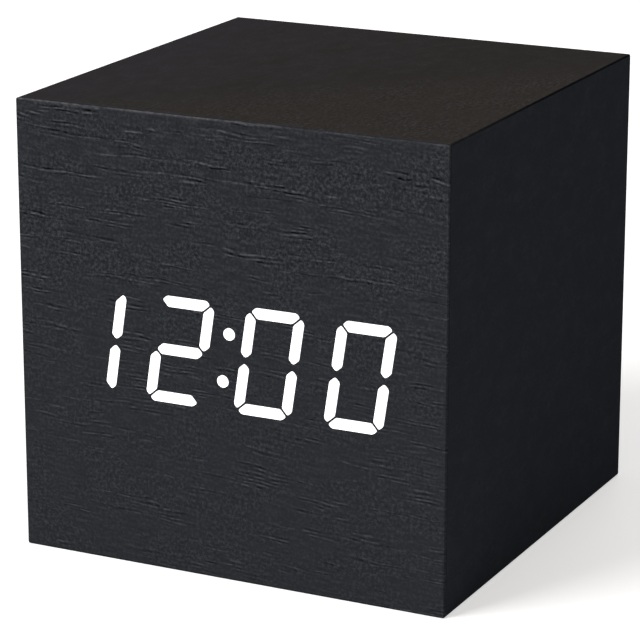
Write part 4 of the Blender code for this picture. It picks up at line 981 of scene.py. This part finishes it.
def spun(profile, sides):
    # The profile's pairs are radius and height, and it is spun about Z
    bm = bmesh.new()
    corners = [bm.verts.new((radius, 0, height)) for radius, height in profile]
    edges = [bm.edges.new(pair) for pair in zip(corners, corners[1:])]
    bmesh.ops.spin(bm, geom=corners + edges, cent=(0, 0, 0), axis=(0, 0, 1), angle=tau,
                   steps=sides, use_merge=True)
    bmesh.ops.remove_doubles(bm, verts=bm.verts, dist=hair / 10)
    bmesh.ops.recalc_face_normals(bm, faces=bm.faces)
    return bm


def soften(bm, edges, width, segments=3):
    bmesh.ops.bevel(bm, geom=edges, offset=width, segments=segments, profile=0.5,
                    affect="EDGES", material=-1, clamp_overlap=True)


def turn(bm, angle, axis):
    bmesh.ops.rotate(bm, cent=(0, 0, 0), matrix=Matrix.Rotation(angle, 3, axis), verts=bm.verts)


def turnToRear(bm, x, y, z):
    # What stood up along Z now points to the rear, along Y
    turn(bm, -pi / 2, "X")
    bmesh.ops.translate(bm, vec=(x, y, z), verts=bm.verts)


# Keys, with dished tops and rounded rims

key = {
    "places": {"down": -0.0122, "up": -0.0057, "set": 0.0008},
    "z": 0.0508,
    "footY": 0.0255,
    "foot": 0.0013,
    "flange": 0.0028,
    "radius": 0.0021,
    "flangeFrom": 0.0006,
    "flangeTo": 0.0016,
    "top": 0.0042,
    "dish": 0.00025,
    "midDish": 0.0002,  # halfway out
    "round": 0.0003,
    "rim": 0.00045,
    "sides": 48,
    "marks": {"down": (3, -90), "up": (3, 90), "set": (20, 0)},  # corners, turn in degrees
    "arrow": 0.00085,
    "dot": 0.00045,
    "markFoot": 0.00055,  # below the key's top
    "markHeight": 0.0005,
    "markEase": 0.00006,
}


def makeKeys():
    for name, x in key["places"].items():
        bm = spun([(0, 0), (key["foot"], 0), (key["foot"], key["flangeFrom"]),
                   (key["flange"], key["flangeFrom"]), (key["flange"], key["flangeTo"]),
                   (key["radius"], key["flangeTo"]), (key["radius"], key["top"]),
                   (key["radius"] - key["rim"], key["top"]),
                   (key["radius"] / 2, key["top"] - key["midDish"]),
                   (0, key["top"] - key["dish"])], key["sides"])
        soften(bm, above(sharpEdges(bm), key["top"] - key["dish"] / 2), key["round"], 4)
        turnToRear(bm, x, key["footY"], key["z"])
        keepPiece(bm, name + "Key", name + "_key", "key_black", name + "_button")


def makeKeyMarks():
    # Raised arrows on two keys and a dot on the third, level with the rims
    for name, (corners, angle) in key["marks"].items():
        bm = bmesh.new()
        # Seen from behind, X runs to the left, so a turn is taken the other way round
        bmesh.ops.create_circle(bm, cap_ends=True, segments=corners,
                                radius=key["arrow"] if corners == 3 else key["dot"],
                                matrix=Matrix.Rotation(radians(-90 - angle), 4, "Z"))
        raised = cornersOf(bmesh.ops.extrude_face_region(bm, geom=list(bm.faces)))
        raiseBy(bm, key["markHeight"], raised)
        bmesh.ops.recalc_face_normals(bm, faces=bm.faces)
        soften(bm, above(sharpEdges(bm), key["markHeight"] / 2), key["markEase"], 2)
        raiseBy(bm, key["top"] - key["markFoot"], bm.verts)
        turnToRear(bm, key["places"][name], key["footY"], key["z"])
        keepPiece(bm, name + "KeyMark", name + "_key", "key_black")


makeKeys()
makeKeyMarks()
print("keys made")


# Screws of the rear cover, with cross recesses

screw = {
    "places": [(x, z) for x in (-0.0226, 0.0226) for z in (0.0074, 0.0526)],
    "nodes": ["cover_screw_lower_left", "cover_screw_upper_left",
              "cover_screw_lower_right", "cover_screw_upper_right"],
    "turns": (12, 40, 71, 25),
    "underside": 0.0286,
    "head": 0.0019,
    "headHeight": 0.0011,
    "headEdge": 0.000605,
    "headEase": 0.00018,
    "crown": 0.00012,
    "crownShare": 0.72,
    "shaft": 0.001,
    "core": 0.0008,
    "length": 0.008,
    "threads": 10,
    "sides": 24,
    "slotReach": 0.00105,
    "slotHalfWidth": 0.00024,
    "slotDepth": 0.0007,
    "slotTaper": 0.72,
}


def screwProfile():
    pitch = (screw["length"] - screw["shaft"]) / screw["threads"]
    profile = [(0, -screw["length"])]
    for index in range(screw["threads"]):
        height = -screw["length"] + screw["shaft"] + index * pitch
        profile += [(screw["core"], height), (screw["shaft"], height + pitch / 2)]
    return profile + [(screw["core"], 0), (screw["head"], 0),
                      (screw["head"], screw["headEdge"]),
                      (screw["crownShare"] * screw["head"], screw["headHeight"] - screw["crown"])]


def cutCross(bm):
    # The open rim is drawn in to the outline of a cross, a quarter of it six corners long
    reach, half = screw["slotReach"], screw["slotHalfWidth"]
    middle = (reach + half) / 2
    quarter = ((reach, 0), (reach, half), (middle, half), (half, half), (half, middle),
               (half, reach))
    for corner in extendRim(bm):
        step = round(atan2(corner.co.y, corner.co.x) / tau * screw["sides"])
        arm, place = divmod(step % screw["sides"], len(quarter))
        spot = Matrix.Rotation(arm * pi / 2, 2) @ Vector(quarter[place])
        corner.co = (spot.x, spot.y, screw["headHeight"])
    bottom = extendRim(bm)
    bmesh.ops.scale(bm, vec=(screw["slotTaper"], screw["slotTaper"], 1), verts=bottom)
    raiseBy(bm, -screw["slotDepth"], bottom)
    closeUp(bm)


def makeScrews():
    for (x, z), node, angle in zip(screw["places"], screw["nodes"], screw["turns"]):
        bm = spun(screwProfile(), screw["sides"])
        cutCross(bm)
        turn(bm, radians(angle), "Z")
        rim = [edge for edge in above(sharpEdges(bm, 30), screw["headEdge"] / 2)
               if all(abs(corner.co.xy.length - screw["head"]) < hair for corner in edge.verts)]
        soften(bm, rim, screw["headEase"])
        turnToRear(bm, x, screw["underside"], z)
        keepPiece(bm, node.replace("cover_screw", "crossScrew"), "clock", "screw_steel", node)


makeScrews()
print("screws made")


# Socket for the mains adapter

socket = {
    "x": 0.012,
    "z": 0.0508,
    "front": 0.0202,
    "bodyRear": 0.0271,
    "rear": 0.029,
    "half": 0.0032,
    "collar": 0.0027,
    "collarEase": 0.0002,
    "bore": 0.00175,
    "boreFloor": 0.0228,
    "lead": 0.00035,
    "sides": 48,
    "pin": 0.00065,
    "pinBase": 0.0231,
    "pinEnd": 0.0278,
    "pinRound": 0.00039,
    "pinSides": 32,
}


def makeSocket():
    bodyHeight = socket["bodyRear"] - socket["front"]
    rearHeight = socket["rear"] - socket["front"]
    floorHeight = socket["boreFloor"] - socket["front"]
    bm = spun([(socket["collar"], bodyHeight), (socket["collar"], rearHeight),
               (socket["bore"] + socket["lead"], rearHeight),
               (socket["bore"], rearHeight - socket["lead"]),
               (socket["bore"], floorHeight), (0, floorHeight)], socket["sides"])
    soften(bm, above(sharpEdges(bm), rearHeight - hair), socket["collarEase"])
    for corner in extendRim(bm):
        # The round rim is pushed out to the body's square outline
        corner.co.xy *= socket["half"] / max(abs(corner.co.x), abs(corner.co.y))
    raiseBy(bm, -bodyHeight, extendRim(bm))
    closeUp(bm)
    turnToRear(bm, socket["x"], socket["front"], socket["z"])
    keepPiece(bm, "adapterSocket", "clock", "socket_black", "dc_socket")


def makePin():
    tip = socket["pinEnd"] - socket["pinBase"]
    bm = spun([(0, 0), (socket["pin"], 0), (socket["pin"], tip), (0, tip)], socket["pinSides"])
    soften(bm, above(sharpEdges(bm), tip / 2), socket["pinRound"], 5)
    turnToRear(bm, socket["x"], socket["pinBase"], socket["z"])
    keepPiece(bm, "adapterPin", "clock", "socket_brass", "dc_socket_pin")


makeSocket()
makePin()
print("socket made")


# Cells, with crimped ends, and the conical springs

def cellRows():
    # Every other cell lies the other way round
    return [(row + 1, -1 if row % 2 else 1, z) for row, z in enumerate(cell["heights"])]


def makeCells():
    radius, length, lip, nub = cell["radius"], cell["length"], cell["lip"], cell["nub"]
    shoulder = length - cell["nubHeight"]
    for number, side, z in cellRows():
        # A lip is the width of the sleeve's turned-in edge, and the ends are drawn in lips
        bm = spun([(0, cell["dish"]), (radius - 3 * lip, cell["dish"]), (radius - 2.4 * lip, 0),
                   (radius - lip, 0), (radius, lip), (radius, shoulder - lip),
                   (radius - lip, shoulder), (radius - 1.4 * lip, shoulder),
                   (radius - 1.8 * lip, shoulder - lip / 2), (cell["nubFoot"], shoulder - lip / 2),
                   (nub, shoulder), (nub, length), (0, length)], cell["sides"])
        soften(bm, sharpEdges(bm, cell["easeAngle"]), cell["ease"])
        along = bm.verts.layers.float.new("along")
        for corner in bm.verts:
            corner[along] = corner.co.z / length
        for face in bm.faces:
            face.material_index = int(face.calc_center_median().xy.length < radius - 1.1 * lip)
        turn(bm, -side * pi / 2, "Y")
        bmesh.ops.translate(bm, vec=(side * cell["flatEnd"], cell["y"], z), verts=bm.verts)
        piece = keepPiece(bm, f"cell{number}", "clock", "cell_wrap", f"battery_{number}")
        piece.data.materials.append(finishes["contact_nickel"])


spring = {
    "baseX": 0.0235,
    "length": 0.0022,
    "baseRadius": 0.0038,
    "tipRadius": 0.0014,
    "wire": 0.00025,
    "turns": 3,
    "pointsPerTurn": 28,
    "flatStart": 0.18,  # the first and last parts of the wire lie flat
    "flatEnd": 0.108,
}


def makeSprings():
    steps = spring["turns"] * spring["pointsPerTurn"]
    rising = 1 - spring["flatStart"] - spring["flatEnd"]
    run = spring["length"] - 2 * spring["wire"]
    for number, side, z in cellRows():
        route = []
        for step in range(steps + 1):
            share = step / steps
            rise = min(max((share - spring["flatStart"]) / rising, 0), 1)
            rise = rise * rise * (3 - 2 * rise)
            angle = share * spring["turns"] * tau
            radius = spring["baseRadius"] + (spring["tipRadius"] - spring["baseRadius"]) * share
            route.append((side * (spring["baseX"] - spring["wire"] - run * rise),
                          cell["y"] + side * radius * cos(angle),
                          z + radius * sin(angle)))
        enterTubes(f"coneSpring{number}", [route], spring["wire"], "clock", "spring_nickel",
                   f"battery_spring_{number}")


makeCells()
makeSprings()
print("cells and springs made")


# Leads from the cells to the key board, and the ribbon between the boards

lead = {
    "radius": 0.00046,
    "bare": 0.00026,
    "bareLength": 0.0007,
    "steps": 60,
    "side": 0.02395,
    "boardSide": 0.0145,
    "startY": 0.0116,
    "run": ((0.0104, 0), (0.0111, 0.5)),  # Y, and share of the rise to the crossing
    "crossing": (0.0123, 0.0473),
    "boardZ": 0.0508,
    "board": (0.0156, 0.018),
    # Name: side, height of its contact, slot
    "leads": {"positive": (-1, 0.01755, "lead_red"), "negative": (1, 0.03915, "lead_black")},
}


def smoothRoute(route, steps):
    # A curve through the route's points, whose ends run straight on
    spread = [route[0] * 2 - route[1], *route, route[-1] * 2 - route[-2]]
    points = []
    for step in range(steps + 1):
        place = step / steps * (len(route) - 1)
        index = min(int(place), len(route) - 2)
        t = place - index
        a, b, c, d = spread[index:index + 4]
        points.append((b * 2 + (c - a) * t + (a * 2 - b * 5 + c * 4 - d) * t ** 2
                       + (b * 3 - a - c * 3 + d) * t ** 3) / 2)
    return points


def makeLeads():
    crossY, crossZ = lead["crossing"]
    for name, (side, contactZ, slot) in lead["leads"].items():
        x, endX = side * lead["side"], side * lead["boardSide"]
        route = [(x, lead["startY"], contactZ)]
        route += [(x, y, contactZ + share * (crossZ - contactZ)) for y, share in lead["run"]]
        route += [((x + endX) / 2, crossY, crossZ)]
        route += [(endX, y, lead["boardZ"]) for y in lead["board"]]
        points = smoothRoute([Vector(point) for point in route], lead["steps"])
        stripped = [point for point in points
                    if (point - points[0]).length > lead["bareLength"]
                    and (point - points[-1]).length > lead["bareLength"]]
        enterTubes("lead" + name.capitalize(), [stripped], lead["radius"], "clock", slot,
                   "battery_lead_" + name)
        enterTubes("leadEnds" + name.capitalize(),
                   [[points[0], stripped[1]], [stripped[-2], points[-1]]],
                   lead["bare"], "clock", "tinned_can")


def ribbonPlace(share):
    # Along a cubic curve in Y and Z that leaves and arrives along Y
    (y, z), (endY, endZ) = ribbon["start"], ribbon["end"]
    reach = (endY - y) / 2
    a, b, c, d = (Vector(pair) for pair in ((y, z), (y + reach, z), (endY - reach, endZ),
                                            (endY, endZ)))
    rest = 1 - share
    point = a * rest ** 3 + b * 3 * rest ** 2 * share + c * 3 * rest * share ** 2 + d * share ** 3
    along = ((b - a) * rest ** 2 + (c - b) * 2 * rest * share + (d - c) * share ** 2).normalized()
    return (Matrix.Translation((0, point.x, point.y))
            @ Matrix.Rotation(atan2(along.y, along.x), 4, "X"))


def ribbonOutline():
    # Round wires side by side, joined where they touch
    wires, radius, join = ribbon["wires"], ribbon["thickness"] / 2, ribbon["joinAngle"]
    outline = []
    for index in range(wires):
        middle = (index - (wires - 1) / 2) * ribbon["pitch"]
        first = 180 if index == 0 else 180 - join
        last = 0 if index == wires - 1 else join
        for step in range(ribbon["arcSteps"] + 1):
            angle = radians(first + (last - first) * step / ribbon["arcSteps"])
            outline.append((middle + radius * cos(angle), radius * sin(angle)))
    return outline + [(-across, -up) for across, up in outline[1:-1]]


def makeRibbon():
    bm = bmesh.new()
    placed = ribbonPlace(0)
    start = placed.translation
    corners = [bm.verts.new((ribbon["middleX"] + across, start.y, start.z + up))
               for across, up in ribbonOutline()]
    edges = [bm.edges.new(pair) for pair in zip(corners, corners[1:] + corners[:1])]
    for step in range(1, ribbon["steps"] + 1):
        made = bmesh.ops.extrude_edge_only(bm, edges=edges)
        edges = [item for item in made["geom"] if isinstance(item, bmesh.types.BMEdge)
                 and item.is_boundary]
        turned = ribbonPlace(step / ribbon["steps"])
        bmesh.ops.transform(bm, matrix=turned @ placed.inverted(), verts=cornersOf(made))
        placed = turned
    closeUp(bm)
    keepPiece(bm, "ribbonCable", "clock", "ribbon_grey", "ribbon_cable", smoothAngle=50)


makeLeads()
makeRibbon()
print("leads and ribbon made")


# Rear cover and battery door: their solids with every sharp edge eased

moulding = {
    "merge": 0.000002,
    "flat": 1.0,
    "ease": 0.00015,
    "steps": 2,
    "limit": 40,
}


def easedCopy(node, name, body):
    bm = bmesh.new()
    bm.from_mesh(nodes[node].data)
    bmesh.ops.remove_doubles(bm, verts=bm.verts, dist=moulding["merge"])
    bmesh.ops.dissolve_limit(bm, angle_limit=radians(moulding["flat"]), verts=bm.verts,
                             edges=bm.edges)
    ease = keepPiece(bm, name, body, "cover_black", node).modifiers.new("ease", "BEVEL")
    ease.width = moulding["ease"]
    ease.segments = moulding["steps"]
    ease.limit_method = "ANGLE"
    ease.angle_limit = radians(moulding["limit"])
    ease.use_clamp_overlap = True
    ease.harden_normals = True


easedCopy("rear_cover", "rearCover", "clock")
easedCopy("battery_door", "batteryDoor", "door")
print("rear cover and door made")
